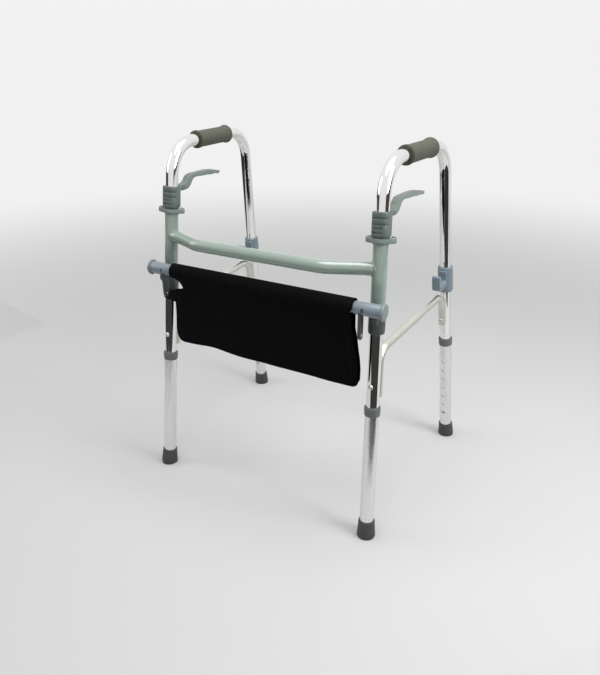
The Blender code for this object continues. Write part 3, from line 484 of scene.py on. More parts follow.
FOAM = finish("grip_foam", (0.112, 0.114, 0.088), (0.066, 0.067, 0.052), 0.72, 0.18,
              patch=120.0, grain=(1300.0, 1300.0, 1300.0), relief=0.00030, specular=0.3)
STEEL = finish("plated_steel", (0.66, 0.66, 0.66), (0.52, 0.52, 0.53), 0.18, 0.15,
               metal=1.0, patch=90.0, relief=0.00001)
SPRING = finish("spring_steel", (0.42, 0.42, 0.44), (0.32, 0.32, 0.34), 0.25, 0.15,
                metal=1.0, patch=90.0, relief=0.00001)
print("finishes:", len(bpy.data.materials))

# %% [markdown]
# Cloth and webbing are woven, so noise alone won't do. Two sets of fine
# waves cross at right angles and make the over-and-under of the threads.

# %% A woven finish
def woven(name, colour, other, threads, relief, rough):
    material = finish(name, colour, other, rough, 0.10, patch=35.0, specular=0.05)
    tree = material.node_tree
    where = next(n for n in tree.nodes if n.bl_idname == "ShaderNodeTexCoord")
    cross = add(tree, "ShaderNodeMath", {"operation": "MULTIPLY"})
    for i, direction in enumerate(("X", "Z")):
        wave = add(tree, "ShaderNodeTexWave", {"wave_type": "BANDS", "bands_direction": direction},
                   {"Scale": threads, "Distortion": 0.6, "Detail": 1.0})
        tree.links.new(where.outputs["Object"], wave.inputs["Vector"])
        tree.links.new(wave.outputs["Fac"], cross.inputs[i])
    relief_from(tree, cross.outputs["Value"], 0.7, relief, tree.nodes["Principled BSDF"])
    return material


CLOTH = woven("sling_cloth", (0.0030, 0.0030, 0.0034), (0.0018, 0.0018, 0.0020), 330.0, 0.00018, 0.72)
WEBBING = woven("strap_webbing", (0.0045, 0.0045, 0.0050), (0.0028, 0.0028, 0.0031), 210.0, 0.00030, 0.66)
THREAD = finish("sewing_thread", (0.0080, 0.0080, 0.0085), (0.0050, 0.0050, 0.0054), 0.50, 0.15,
                specular=0.3)
print("woven finishes done")

# %% [markdown]
# ## Side frames
# Each side frame is one chromed steel tube, bent to an upside-down U. The
# tube is 25.4 mm across. Near its lower ends a round hole in each leg lets
# the height button through, and a rivet passes through it at the brace.

# %% Frame tubes
TUBE_R, TUBE_BORE_R = 0.0127, 0.0115
TUBE_BOTTOM = 0.050
BUTTON_HEIGHT = 0.0775
HOLE_R = 0.0040
RIVET_R = 0.0023
RIVET_HEIGHT = {"front": 0.3350, "rear": 0.3520}


def on_leg(leg, height):
    """A point of the leg's axis, in the side plane."""
    return Vector((0.0, LEG_START[leg] + LEG_SLOPE[leg] * height, height))


for side in SIDES:
    path = bent_path([on_leg("front", TUBE_BOTTOM), on_leg("front", HANDLE_HEIGHT),
                      on_leg("rear", HANDLE_HEIGHT), on_leg("rear", TUBE_BOTTOM)], 0.070, 18)
    tube = raw_object(f"{side}_bent_tube", swept(path, TUBE_R, TUBE_BORE_R, 48), side_place(side))
    for leg in LEG_SLOPE:
        hole = rod(HOLE_R, 0, 0.02, 24)
        boolean(tube, moved(hole, facing_turn(leg, BUTTON_HEIGHT)), "DIFFERENCE", leg_place(side, leg))
    dress(tube, f"{side}_side_frame", CHROME, [f"{side}_frame_tube"])
print("frame tubes bent, R 70 mm")

# %% [markdown]
# The side brace is a thinner tube, bent the same way. Its two ends lie
# against the legs, each held by one rivet whose domed head shows on the
# outer side of the leg.

# %% Side braces and their rivets
CLEARANCE = 0.0003
BRACE_R, BRACE_BORE_R = 0.0083, 0.0071
BRACE_FRONT_BEND, BRACE_REAR_BEND = 0.028, 0.042
BRACE_OFFSET = TUBE_R + BRACE_R + CLEARANCE

for side in SIDES:
    shift = {leg: FACING[leg] * BRACE_OFFSET * math.hypot(1.0, LEG_SLOPE[leg]) for leg in LEG_SLOPE}
    ends = [("front", 0.3025), ("front", 0.3955), ("rear", 0.4105), ("rear", 0.3330)]
    corners = [on_leg(leg, height) + Vector((0, shift[leg], 0)) for leg, height in ends]
    path = bent_path(corners[:3], BRACE_FRONT_BEND, 14)[:-1]
    path += bent_path(corners[1:], BRACE_REAR_BEND, 14)[1:]
    piece(f"{side}_brace_tube", swept(path, BRACE_R, BRACE_BORE_R, 32), side_place(side),
          f"{side}_side_frame", NICKEL, [f"{side}_side_brace"])
    for leg in LEG_SLOPE:
        near, far = -TUBE_R - 0.0003, BRACE_OFFSET + BRACE_R + 0.0003
        head = [(0, near - 0.0027), (0.0022, near - 0.0025), (0.0040, near - 0.0017),
                (0.0050, near - 0.0006), (0.0052, near), (RIVET_R, near), (RIVET_R, far),
                (0.0048, far), (0.0046, far + 0.0007), (0.0036, far + 0.0018), (0, far + 0.0024)]
        piece(f"{side}_{leg}_rivet", moved(turned(head, 24), facing_turn(leg, RIVET_HEIGHT[leg])),
              leg_place(side, leg), f"{side}_side_frame", STEEL,
              [f"{side}_{leg}_brace_rivet"])
print("braces on at", RIVET_HEIGHT)

# %% [markdown]
# The grips are foam sleeves with a rolled ring at each end, the rear one
# larger. The profile has soft corners, because foam has no sharp ones.

# %% Foam grips
GRIP_FRONT, GRIP_REAR, GRIP_R = 0.1530, 0.2705, 0.0172

for side in SIDES:
    bore = TUBE_R + 0.0004
    profile = [(bore, GRIP_FRONT), (0.0178, GRIP_FRONT), (0.0186, GRIP_FRONT + 0.0014),
               (0.0186, GRIP_FRONT + 0.0064), (0.0176, GRIP_FRONT + 0.0086), (GRIP_R, GRIP_FRONT + 0.0120),
               (GRIP_R, GRIP_REAR - 0.0130), (0.0181, GRIP_REAR - 0.0076), (0.0196, GRIP_REAR - 0.0048),
               (0.0196, GRIP_REAR - 0.0014), (0.0186, GRIP_REAR), (bore, GRIP_REAR)]
    turn = Matrix.Translation((0, 0, HANDLE_HEIGHT)) @ Matrix.Rotation(math.radians(-90), 4, "X")
    shape = moved(turned(rounded(profile, 0.0016, 4, keep=(0, 11)), 56), turn)
    piece(f"{side}_foam_grip", shape, side_place(side), f"{side}_side_frame", FOAM,
          [f"{side}_hand_grip"], angle=60)
print("grip length", round(GRIP_REAR - GRIP_FRONT, 3))

# %% [markdown]
# ## Height-adjustable legs
# The lower legs are satin aluminium tubes that slide over the chromed ones.
# Each has a row of eight holes, one inch apart, facing into the side frame. A
# spring button in the upper tube stands in one of them. A plastic ring caps
# the tube's upper end.

# %% Leg tubes with their rows of holes
LEG_R, LEG_BORE_R, LEG_LOW, LEG_HIGH = 0.0143, 0.0131, 0.0120, 0.2860
HOLES, HOLE_PITCH = 8, 0.0254

for side in SIDES:
    for leg in LEG_SLOPE:
        body = f"{side}_{leg}_leg_extension"
        profile = [(LEG_BORE_R, LEG_LOW), (LEG_R, LEG_LOW), (LEG_R, LEG_HIGH), (LEG_BORE_R, LEG_HIGH)]
        tube = raw_object(f"{side}_{leg}_lower_tube", turned(profile, 48), leg_place(side, leg))
        holes = []
        for k in range(HOLES):
            hole = rod(HOLE_R, 0.008, 0.02, 24)
            holes.append(moved(hole, facing_turn(leg, BUTTON_HEIGHT + k * HOLE_PITCH)))
        boolean(tube, together(holes), "DIFFERENCE")
        dress(tube, body, SATIN, [f"{side}_{leg}_leg_tube"])
print("holes from", BUTTON_HEIGHT, "to", BUTTON_HEIGHT + (HOLES - 1) * HOLE_PITCH)

# %% Ring collars
for side in SIDES:
    for leg in LEG_SLOPE:
        low, high = 0.2735, 0.2915
        inner, throat = LEG_R + CLEARANCE, TUBE_R + 0.0005
        profile = [(inner, low), (0.0152, low), (0.0155, low + 0.0012), (0.0160, low + 0.0086),
                   (0.0161, high - 0.0016), (0.0155, high), (throat, high),
                   (throat, high - 0.0045), (inner, high - 0.0045)]
        piece(f"{side}_{leg}_collar", turned(rounded(profile, 0.0007), 56), leg_place(side, leg),
              f"{side}_{leg}_leg_extension", RING_GREY, [f"{side}_{leg}_ring_collar"])
print("ring collars on")

# %% [markdown]
# The rubber tips flare towards the floor. Their soles are level although the
# legs lean, so the rings of the mesh blend from level ones at the floor to
# ones square to the leg at the mouth. Two grooves and a stepped sole break up
# the plain cone.

# %% Rubber tips
def tip_shape(leg_to_world, sides=48):
    flat = Matrix.Translation(leg_to_world.translation)
    steps = [(0.0, 0.0, 0.0150), (0.0, 0.0, 0.0177), (0.0, 0.0007, 0.0186), (0.0, 0.0020, 0.0190),
             (0.0, 0.0052, 0.0189), (0.05, 0.0060, 0.0185), (0.1, 0.0070, 0.0185),
             (0.15, 0.0078, 0.0188), (0.4, 0.0130, 0.0184), (0.7, 0.0210, 0.0177),
             (0.9, 0.0290, 0.0172), (1.0, 0.0312, 0.0168), (1.0, 0.0322, 0.0168),
             (1.0, 0.0332, 0.0170), (1.0, 0.0355, 0.0169), (1.0, 0.0362, 0.0163),
             (1.0, 0.0362, LEG_R + 0.0003), (1.0, 0.0116, LEG_R + 0.0003)]
    back = leg_to_world.inverted()
    verts, faces = [], []
    for share, height, radius in steps:
        for k in range(sides):
            a = 2 * math.pi * k / sides
            point = Vector((radius * math.cos(a), radius * math.sin(a), height))
            world = (flat @ point).lerp(leg_to_world @ point, share)
            verts.append(back @ world)
    for i in range(len(steps) - 1):
        for k in range(sides):
            j = (k + 1) % sides
            faces.append((i * sides + k, i * sides + j, (i + 1) * sides + j, (i + 1) * sides + k))
    last = (len(steps) - 1) * sides
    faces += [tuple(range(sides)), tuple(range(last, last + sides))]
    return verts, faces


for side in SIDES:
    for leg in LEG_SLOPE:
        place = leg_place(side, leg)
        piece(f"{side}_{leg}_tip", tip_shape(place), place, f"{side}_{leg}_leg_extension", RUBBER,
              [f"{side}_{leg}_rubber_tip"], angle=50)
print("tips 38 mm across near the floor")

# %% Snap buttons and their bent springs
for side in SIDES:
    for leg in LEG_SLOPE:
        profile = [(0, 0.0060), (0.0058, 0.0060), (0.0058, 0.0074), (0.0034, 0.0074),
                   (0.0034, 0.0116), (0.0031, 0.0122), (0.0022, 0.0125), (0, 0.0126)]
        piece(f"{side}_{leg}_button", moved(turned(profile, 24), facing_turn(leg, BUTTON_HEIGHT)),
              leg_place(side, leg), f"{side}_{leg}_snap_button_body", STEEL,
              [f"{side}_{leg}_snap_button"])
        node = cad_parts[f"{side}_{leg}_snap_spring"]
        node.data.materials.clear()
        node.data.materials.append(SPRING)
print("buttons in the lowest holes")

# %% [markdown]
# ## Rear clamps
# A plastic clamp grips each rear leg. Its hook opens upwards and faces the
# front, where the free edge of the sling goes when the walker is used as a
# seat. A screw through the lug behind the leg closes the clamp. The left
# clamp sits 4 mm lower than the right one, as it does in the photograph.

# %% Hook clamps and screws
HOOK = [(-0.0080, 0.4360), (-0.0450, 0.4362), (-0.0530, 0.4390), (-0.0570, 0.4450), (-0.0570, 0.4710),
        (-0.0545, 0.4745), (-0.0505, 0.4745), (-0.0480, 0.4710), (-0.0480, 0.4540), (-0.0455, 0.4490),
        (-0.0405, 0.4468), (-0.0265, 0.4468), (-0.0210, 0.4500), (-0.0190, 0.4550), (-0.0190, 0.4720),
        (-0.0080, 0.4745)]
HOOK_HALF_WIDTH = 0.0090
CLAMP_DROP = {"left": 0.0040, "right": 0.0}
SCREW_Y, SCREW_HEIGHT = 0.0200, 0.4475

for side, sign in SIDES.items():
    place = leg_place(side, "rear") @ Matrix.Translation((0, 0, -CLAMP_DROP[side]))
    low, high = 0.4180, 0.4775
    profile = [(0, low), (0.0160, low), (0.0168, low + 0.0020), (0.0168, high - 0.0020), (0.0160, high),
               (0, high)]
    clamp = raw_object(f"{side}_clamp", turned(rounded(profile, 0.0008, 2, keep=(0, 5)), 48), place)
    hook = moved(plate(rounded(HOOK, 0.0020, 3), -HOOK_HALF_WIDTH, HOOK_HALF_WIDTH), UPRIGHT_PLATE)
    boolean(clamp, hook, "UNION")
    lug = block((-0.0055, 0.0100, SCREW_HEIGHT - 0.0130), (0.0055, 0.0242, SCREW_HEIGHT + 0.0130))
    boolean(clamp, lug, "UNION")
    soften(clamp, 0.0009, 2, 50)
    boolean(clamp, rod(TUBE_R + 0.0004, 0.40, 0.50), "DIFFERENCE")
    turn = across_turn(sign, SCREW_Y, SCREW_HEIGHT)
    hole = rod(0.0023, -0.012, 0.012, 24)
    boolean(clamp, moved(hole, turn), "DIFFERENCE")
    dress(clamp, f"{side}_side_frame", BLUE_GREY, [f"{side}_rear_hook_clamp"])
    face = 0.0058
    shank = [(0, face + 0.0024), (0.0014, face + 0.0023), (0.0026, face + 0.0018), (0.0034, face + 0.0009),
             (0.0036, face), (0.0020, face), (0.0020, -face), (0.0034, -face), (0.0034, -face - 0.0022),
             (0.0031, -face - 0.0024), (0, -face - 0.0024)]
    screw = raw_object(f"{side}_screw", moved(turned(shank, 28), turn), place)
    for half_y, half_z in ((0.0022, 0.0004), (0.0004, 0.0022)):
        slot = block((-half_z, -half_y, face + 0.0010), (half_z, half_y, face + 0.0040))
        boolean(screw, moved(slot, turn), "DIFFERENCE")
    dress(screw, f"{side}_side_frame", STEEL, [f"{side}_clamp_screw"])
print("hook slot", round((HOOK[15][0] - HOOK[7][0]) * 1000 - 11), "mm wide")

# %% [markdown]
# ## Cross frame
# The crossbar is a painted tube welded to a sleeve at each end. The front
# legs turn in these sleeves when the sides fold. A weld bead, slightly
# rippled, follows the line where the bar meets the sleeve.

# %% Sleeves
SLEEVE_R, SLEEVE_BORE_R = 0.0140, 0.0132
SLEEVE_LOW, SLEEVE_HIGH = 0.4853, 0.6052

for side in SIDES:
    profile = [(SLEEVE_BORE_R, SLEEVE_LOW), (SLEEVE_R, SLEEVE_LOW), (SLEEVE_R, SLEEVE_HIGH),
               (SLEEVE_BORE_R, SLEEVE_HIGH)]
    piece(f"{side}_sleeve", turned(rounded(profile, 0.0003, 2), 56), leg_place(side, "front"), "cross_frame",
          SAGE, [f"{side}_leg_sleeve"])
print("sleeves 120 mm long")

# %% Crossbar and weld beads
CROSSBAR_R, CROSSBAR_Z = 0.0127, 0.557

right_leg = leg_place("right", "front")
joint = right_leg @ Vector((0, 0, CROSSBAR_Z / right_leg.col[2].z))
half = [joint, Vector((0.2120, -0.1790, CROSSBAR_Z)), Vector((0.1450, -0.2080, CROSSBAR_Z))]
corners = [Vector((-p.x, p.y, p.z)) for p in half] + half[::-1]
bar = raw_object("crossbar", swept(bent_path(corners, 0.060, 12), CROSSBAR_R, None, 40), Matrix())
for side, sign in SIDES.items():
    gap = SLEEVE_R + 0.0003
    boolean(bar, rod(gap, 0.48, 0.62), "DIFFERENCE", leg_place(side, "front"))
    beyond_low, beyond_high = sorted((sign * 0.2405, sign * 0.30))
    boolean(bar, block((beyond_low, -0.25, 0.50), (beyond_high, -0.12, 0.60)), "DIFFERENCE")
dress(bar, "cross_frame", SAGE, ["front_crossbar"])


def weld_path(side, sign, turns=72):
    """The curve where the bar's surface runs into the sleeve's, in the leg's own place."""
    place = leg_place(side, "front")
    back = place.inverted()
    start = back @ Vector((sign * half[1].x, half[1].y, half[1].z))
    centre = back @ Vector((sign * joint.x, joint.y, joint.z))
    along = (centre - start).normalized()
    one = along.orthogonal().normalized()
    two = along.cross(one)
    path, sizes = [], []
    for k in range(turns):
        a = 2 * math.pi * k / turns
        p = start + (one * math.cos(a) + two * math.sin(a)) * (CROSSBAR_R + 0.0003)
        u, v = Vector((p.x, p.y)), Vector((along.x, along.y))
        b, c = u.dot(v) / v.length_squared, (u.length_squared - (SLEEVE_R + 0.0003) ** 2) / v.length_squared
        reach = -b - math.sqrt(max(b * b - c, 0.0))
        path.append(p + along * reach)
        sizes.append(0.0013 + 0.00022 * math.sin(18 * a))
    return path, sizes


for side, sign in SIDES.items():
    path, sizes = weld_path(side, sign)
    piece(f"{side}_weld_bead", swept(path, sizes, None, 12, closed=True), leg_place(side, "front"),
          "cross_frame", SAGE, angle=80)
print("crossbar bowed", round(joint.y - half[2].y, 3), "m forward")

# %% [markdown]
# ## Fold locks
# On top of each sleeve sits a flange with two small lobes, turned a little
# about the leg, and a lip round each lobe. Above it is the boxy lock collar
# with ribs on its front. Lifting the S-shaped lever raises the collar out of
# the flange, and the side can fold.

# %% Lock flanges
FLANGE_LOW, PLATE_LOW, PLATE_HIGH, LIP_HIGH = 0.6055, 0.6085, 0.6170, 0.6195
LOBE_X, LOBE_R, MIDDLE_R = 0.0201, 0.0080, 0.0180
FLANGE_TURN = math.radians(17)


def lobed(inset):
    """Outline round the middle circle and the two lobes, drawn in by the inset."""
    meet = math.degrees(math.acos((MIDDLE_R - LOBE_R) / LOBE_X))
    arcs = ((LOBE_X, LOBE_R, -meet, meet), (0.0, MIDDLE_R, meet, 180 - meet),
            (-LOBE_X, LOBE_R, 180 - meet, 180 + meet), (0.0, MIDDLE_R, 180 + meet, 360 - meet))
    outline = []
    for x, radius, first, last in arcs:
        for k in range(15):
            a = math.radians(first + (last - first) * k / 14)
            outline.append((x + (radius - inset) * math.cos(a), (radius - inset) * math.sin(a)))
    return outline


for side in SIDES:
    place = leg_place(side, "front")
    askew = place @ Matrix.Rotation(FLANGE_TURN, 4, "Z")
    flange = raw_object(f"{side}_flange", plate(lobed(0.0), PLATE_LOW, LIP_HIGH), askew)
    soften(flange, 0.0024, 4, 50)
    boolean(flange, plate(lobed(0.0026), PLATE_HIGH, 0.63), "DIFFERENCE")
    boolean(flange, block((-0.0170, -0.03, PLATE_HIGH), (0.0170, 0.03, 0.63)), "DIFFERENCE")
    soften(flange, 0.0005, 2, 50)
    boss = [(0, FLANGE_LOW), (0.0146, FLANGE_LOW), (0.0150, FLANGE_LOW + 0.0005),
            (0.0156, PLATE_LOW + 0.001), (0, PLATE_LOW + 0.001)]
    boolean(flange, turned(boss), "UNION", place)
    hollow = [(0, 0.60), (SLEEVE_BORE_R, 0.60), (SLEEVE_BORE_R, 0.6140), (0.0154, 0.6140), (0.0154, 0.63),
              (0, 0.63)]
    boolean(flange, turned(hollow), "DIFFERENCE", place)
    dress(flange, "cross_frame", FLANGE_GREY, [f"{side}_lock_flange"])
print("flanges", round(2000 * (LOBE_X + LOBE_R)), "mm across the lobes")

# %% Lock collars
COLLAR_LOW, COLLAR_HIGH = 0.6210, 0.6630
COLLAR_HALF_X, COLLAR_FRONT, COLLAR_REAR, COLLAR_CORNER = 0.0156, -0.0168, 0.0156, 0.0095
PIN_Y, PIN_Z, EAR_R = 0.0300, 0.6588, 0.0037
RIB_GAPS = ((0.6530, True), (0.6423, True), (0.6352, False), (0.6275, False))
GAP_DEPTH, GAP_HALF = 0.0014, 0.0011


def collar_outline():
    """Rounded square, a little deeper in front."""
    reach = COLLAR_HALF_X - COLLAR_CORNER
    rear, front = COLLAR_REAR - COLLAR_CORNER, COLLAR_FRONT + COLLAR_CORNER
    outline = []
    for x, y, start in ((reach, rear, 0), (-reach, rear, 90), (-reach, front, 180), (reach, front, 270)):
        for k in range(13):
            a = math.radians(start + 7.5 * k)
            outline.append((x + COLLAR_CORNER * math.cos(a), y + COLLAR_CORNER * math.sin(a)))
    return outline


def gap_shape(height, wraps):
    """Groove across the front; a long one runs round the corner on the +X side."""
    floor_y, floor_r = COLLAR_FRONT + GAP_DEPTH, COLLAR_CORNER - GAP_DEPTH
    outline = [(-0.0105, -0.0220), (-0.0105, floor_y)]
    if wraps:
        for k in range(9):
            a = math.radians(-90 + 11.25 * k)
            outline.append((COLLAR_HALF_X - COLLAR_CORNER + floor_r * math.cos(a),
                            COLLAR_FRONT + COLLAR_CORNER + floor_r * math.sin(a)))
        outline += [(COLLAR_HALF_X - GAP_DEPTH, -0.0065), (0.0210, -0.0065), (0.0210, -0.0220)]
    else:
        outline += [(0.0090, floor_y), (0.0105, -0.0220)]
    return plate(outline[::-1], height - GAP_HALF, height + GAP_HALF)


def ear_outline():
    """Ear with a round end about the pin."""
    outline = [(0.0120, PIN_Z + EAR_R), (0.0120, PIN_Z - EAR_R)]
    for k in range(13):
        a = math.radians(-90 + 15 * k)
        outline.append((PIN_Y + EAR_R * math.cos(a), PIN_Z + EAR_R * math.sin(a)))
    return outline


for side in SIDES:
    place = leg_place(side, "front")
    collar = raw_object(f"{side}_collar_body", plate(collar_outline(), COLLAR_LOW, COLLAR_HIGH), place)
    for ends in ((-0.0102, -0.0070), (0.0070, 0.0102)):
        boolean(collar, moved(plate(ear_outline(), *ends), UPRIGHT_PLATE), "UNION")
    boolean(collar, together([gap_shape(height, wraps) for height, wraps in RIB_GAPS]), "DIFFERENCE")
    pocket = block((-0.0085, -0.0220, 0.6255), (-0.0045, COLLAR_FRONT + 0.0026, 0.6295))
    boolean(collar, pocket, "DIFFERENCE")
    soften(collar, 0.0004, 2, 50)
    skirt = [(0, COLLAR_LOW - 0.0060), (0.0148, COLLAR_LOW - 0.0060), (0.0150, COLLAR_LOW - 0.0056),
             (0.0150, COLLAR_LOW + 0.003), (0, COLLAR_LOW + 0.003)]
    boolean(collar, turned(skirt), "UNION")
    hollow = [(0, 0.60), (SLEEVE_BORE_R, 0.60), (SLEEVE_BORE_R, 0.6300), (0.0150, 0.6300),
              (0.0150, 0.68), (0, 0.68)]
    boolean(collar, turned(hollow), "DIFFERENCE")
    pin_hole = moved(rod(0.0021, -0.014, 0.014, 20), across_turn(1, PIN_Y, PIN_Z))
    boolean(collar, pin_hole, "DIFFERENCE")
    dress(collar, f"{side}_release_collar", GREY_GREEN, [f"{side}_lock_collar"])
    pin = [(0, -0.0104), (0.0016, -0.0104), (0.0019, -0.0101), (0.0019, 0.0101), (0.0016, 0.0104),
           (0, 0.0104)]
    piece(f"{side}_pin", moved(turned(pin, 24), across_turn(1, PIN_Y, PIN_Z)), place,
          f"{side}_release_collar", GREY_GREEN, [f"{side}_lever_pin"])
print("collars with", len(RIB_GAPS), "gaps between ribs")

# %% [markdown]
# The lever is one moulding. It leaves the collar in a tight S, runs back
# under the grip, and droops at its far end. Its tip is rounded when seen
# from above, so the flat plate is trimmed there with a round cutter.

# %% Release levers
LEVER_TOP = [(0.0852, 0.6570), (0.0880, 0.6590), (0.1000, 0.6592), (0.1070, 0.6625), (0.1125, 0.6695),
             (0.1190, 0.6742), (0.1300, 0.6758), (0.1740, 0.6754), (0.1900, 0.6748), (0.2130, 0.6720),
             (0.2290, 0.6682), (0.2368, 0.6664)]
LEVER_UNDER = [(0.2373, 0.6648), (0.2320, 0.6634), (0.2285, 0.6616), (0.2220, 0.6618), (0.2165, 0.6640),
               (0.1960, 0.6636), (0.1895, 0.6650), (0.1610, 0.6664), (0.1460, 0.6678), (0.1370, 0.6678),
               (0.1305, 0.6655), (0.1255, 0.6610), (0.1218, 0.6560), (0.1170, 0.6513), (0.1105, 0.6480),
               (0.1030, 0.6470), (0.0880, 0.6468), (0.0852, 0.6490)]
LEVER_HALF, TIP_ROUND = 0.0066, 0.0050


def beside_tip(sign):
    """The corner between a side of the lever, its end and a quarter round."""
    end = LEVER_UNDER[0][0]
    outline = [(sign * 0.0120, end - TIP_ROUND), (sign * 0.0120, end + 0.0100), (0.0, end + 0.0100)]
    for k in range(7):
        a = math.radians(90 - 15 * k)
        outline.append((sign * (LEVER_HALF - TIP_ROUND + TIP_ROUND * math.cos(a)),
                        end - TIP_ROUND + TIP_ROUND * math.sin(a)))
    return plate(outline, 0.6500, 0.6800)


for side in SIDES:
    outline = rounded(LEVER_TOP + LEVER_UNDER, 0.0040, 4)
    lever = raw_object(f"{side}_lever", moved(plate(outline, -LEVER_HALF, LEVER_HALF), UPRIGHT_PLATE),
                       side_place(side))
    boolean(lever, together([beside_tip(-1), beside_tip(1)]), "DIFFERENCE")
    soften(lever, 0.0013, 3, 45)
    pin_hole = moved(rod(0.0021, -0.012, 0.012, 20), across_turn(1, PIN_Y, PIN_Z))
    boolean(lever, pin_hole, "DIFFERENCE", leg_place(side, "front"))
    dress(lever, f"{side}_release_lever", LEVER_GREY, [f"{side}_release_lever"], angle=50)
print("lever reach", round(LEVER_TOP[-1][0] - LEVER_TOP[0][0], 3))

# %% Return springs and stop rings
COIL_R, WIRE_R, COIL_TURNS = 0.0141, 0.0005, 4
COIL_LOW, COIL_HIGH = 0.6312, 0.6584

for side in SIDES:
    count = COIL_TURNS * 24
    path = []
    for k in range(count + 1):
        a = 2 * math.pi * COIL_TURNS * k / count
        path.append(Vector((COIL_R * math.cos(a), COIL_R * math.sin(a),
                            COIL_LOW + (COIL_HIGH - COIL_LOW) * k / count)))
    place = leg_place(side, "front")
    spring = piece(f"{side}_coil", swept(path, WIRE_R, None, 10), place, f"{side}_side_frame", SPRING,
                   [f"{side}_lock_spring"], angle=80)
    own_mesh(spring)
    bore = TUBE_R + CLEARANCE
    ring = [(bore, 0.6594), (0.0146, 0.6594), (0.0146, 0.6624), (bore, 0.6624)]
    piece(f"{side}_ring", turned(rounded(ring, 0.0003, 2), 48), place, f"{side}_side_frame", GREY_GREEN,
          [f"{side}_stop_ring"])
print("springs wound,", COIL_TURNS, "turns")

# %% [markdown]
# ## Seat bar
# The seat bar runs across the front. At each end a bracket holds it: a
# barrel round the bar, a collar round the leg, a short web between them, and
# a thin finger that hangs down inboard of the leg. The barrel and the domed
# end cap are close blue greys; collar and finger are darker. The
# bar sits a little to the right, so its ends are given side by side.

# %% Bar, barrels and end caps
BAR_Y, BAR_Z, BAR_R, BAR_BORE_R = -0.2142, 0.4947, 0.0110, 0.0098
BAR_END = {"left": 0.2604, "right": 0.2678}
BARREL_INNER = {"left": 0.2075, "right": 0.2145}
SLIT_X = {"left": (0.2285, 0.2325), "right": (0.2306, 0.2364)}

bar_profile = [(BAR_BORE_R, -BAR_END["left"]), (BAR_R, -BAR_END["left"]), (BAR_R, BAR_END["right"]),
               (BAR_BORE_R, BAR_END["right"])]
piece("cross_tube", moved(turned(bar_profile), across_turn(1, BAR_Y, BAR_Z)), Matrix(), "cross_frame",
      STEEL, ["seat_bar"])
for side, sign in SIDES.items():
    turn = across_turn(sign, BAR_Y, BAR_Z)
    bore, near, end = BAR_R + CLEARANCE, BARREL_INNER[side], BAR_END[side]
    profile = [(bore, near), (0.0121, near), (0.0135, end), (bore, end)]
    barrel = raw_object(f"{side}_barrel", moved(turned(rounded(profile, 0.0006, 2), 56), turn), Matrix())
    slit_low, slit_high = sorted(sign * x for x in SLIT_X[side])
    boolean(barrel, block((slit_low, -0.2300, 0.4875), (slit_high, BAR_Y - 0.0110, 0.4990)), "DIFFERENCE")
    dress(barrel, "cross_frame", BARREL_GREY)
    # The slit's floor is lined with the dark bracket plastic: painted shade for the shadow in the gap beside
    # the finger.
    ring = [(bore, near), (0.0120, near), (0.0120, end), (bore, end)]
    slit_shade_lining = raw_object(f"{side}_barrel_slit_painted_shade", moved(turned(ring, 56), turn), Matrix())
    inside = block((slit_low + 0.0002, -0.2300, 0.4877), (slit_high - 0.0002, BAR_Y - 0.0050, 0.4988))
    boolean(slit_shade_lining, inside, "INTERSECT")
    dress(slit_shade_lining, "cross_frame", BRACKET_GREY_AND_SLIT_SHADE)
    seat, plug = end + CLEARANCE, BAR_BORE_R - CLEARANCE
    cap = [(0, seat - 0.0100), (plug - 0.0006, seat - 0.0100), (plug, seat - 0.0094), (plug, seat),
           (0.0146, seat), (0.0155, seat + 0.0005), (0.0161, seat + 0.0014), (0.0163, seat + 0.0025),
           (0.0161, seat + 0.0035), (0.0156, seat + 0.0044), (0.0148, seat + 0.0052),
           (0.0137, seat + 0.0058), (0.0124, seat + 0.0061), (0, seat + 0.0062)]
    piece(f"{side}_cap", moved(turned(cap, 56), turn), Matrix(), "cross_frame", CAP_GREY,
          [f"{side}_bar_end_cap"])
print("bar", round(sum(BAR_END.values()), 4), "m long")

# %% Brackets and their fingers
FINGER_X = {"left": (0.2239, 0.2299), "right": (0.2258, 0.2318)}
FINGER_Y, FINGER_HALF, FINGER_LOW, FINGER_RIVET_Z = -0.2194, 0.0068, 0.4355, 0.4440


def finger_outline():
    """Finger with a round lower end."""
    outline = [(FINGER_Y + FINGER_HALF, 0.4920), (FINGER_Y - FINGER_HALF, 0.4920)]
    for k in range(13):
        a = math.radians(180 + 15 * k)
        outline.append((FINGER_Y + FINGER_HALF * math.cos(a), FINGER_LOW + FINGER_HALF * (1 + math.sin(a))))
    return outline


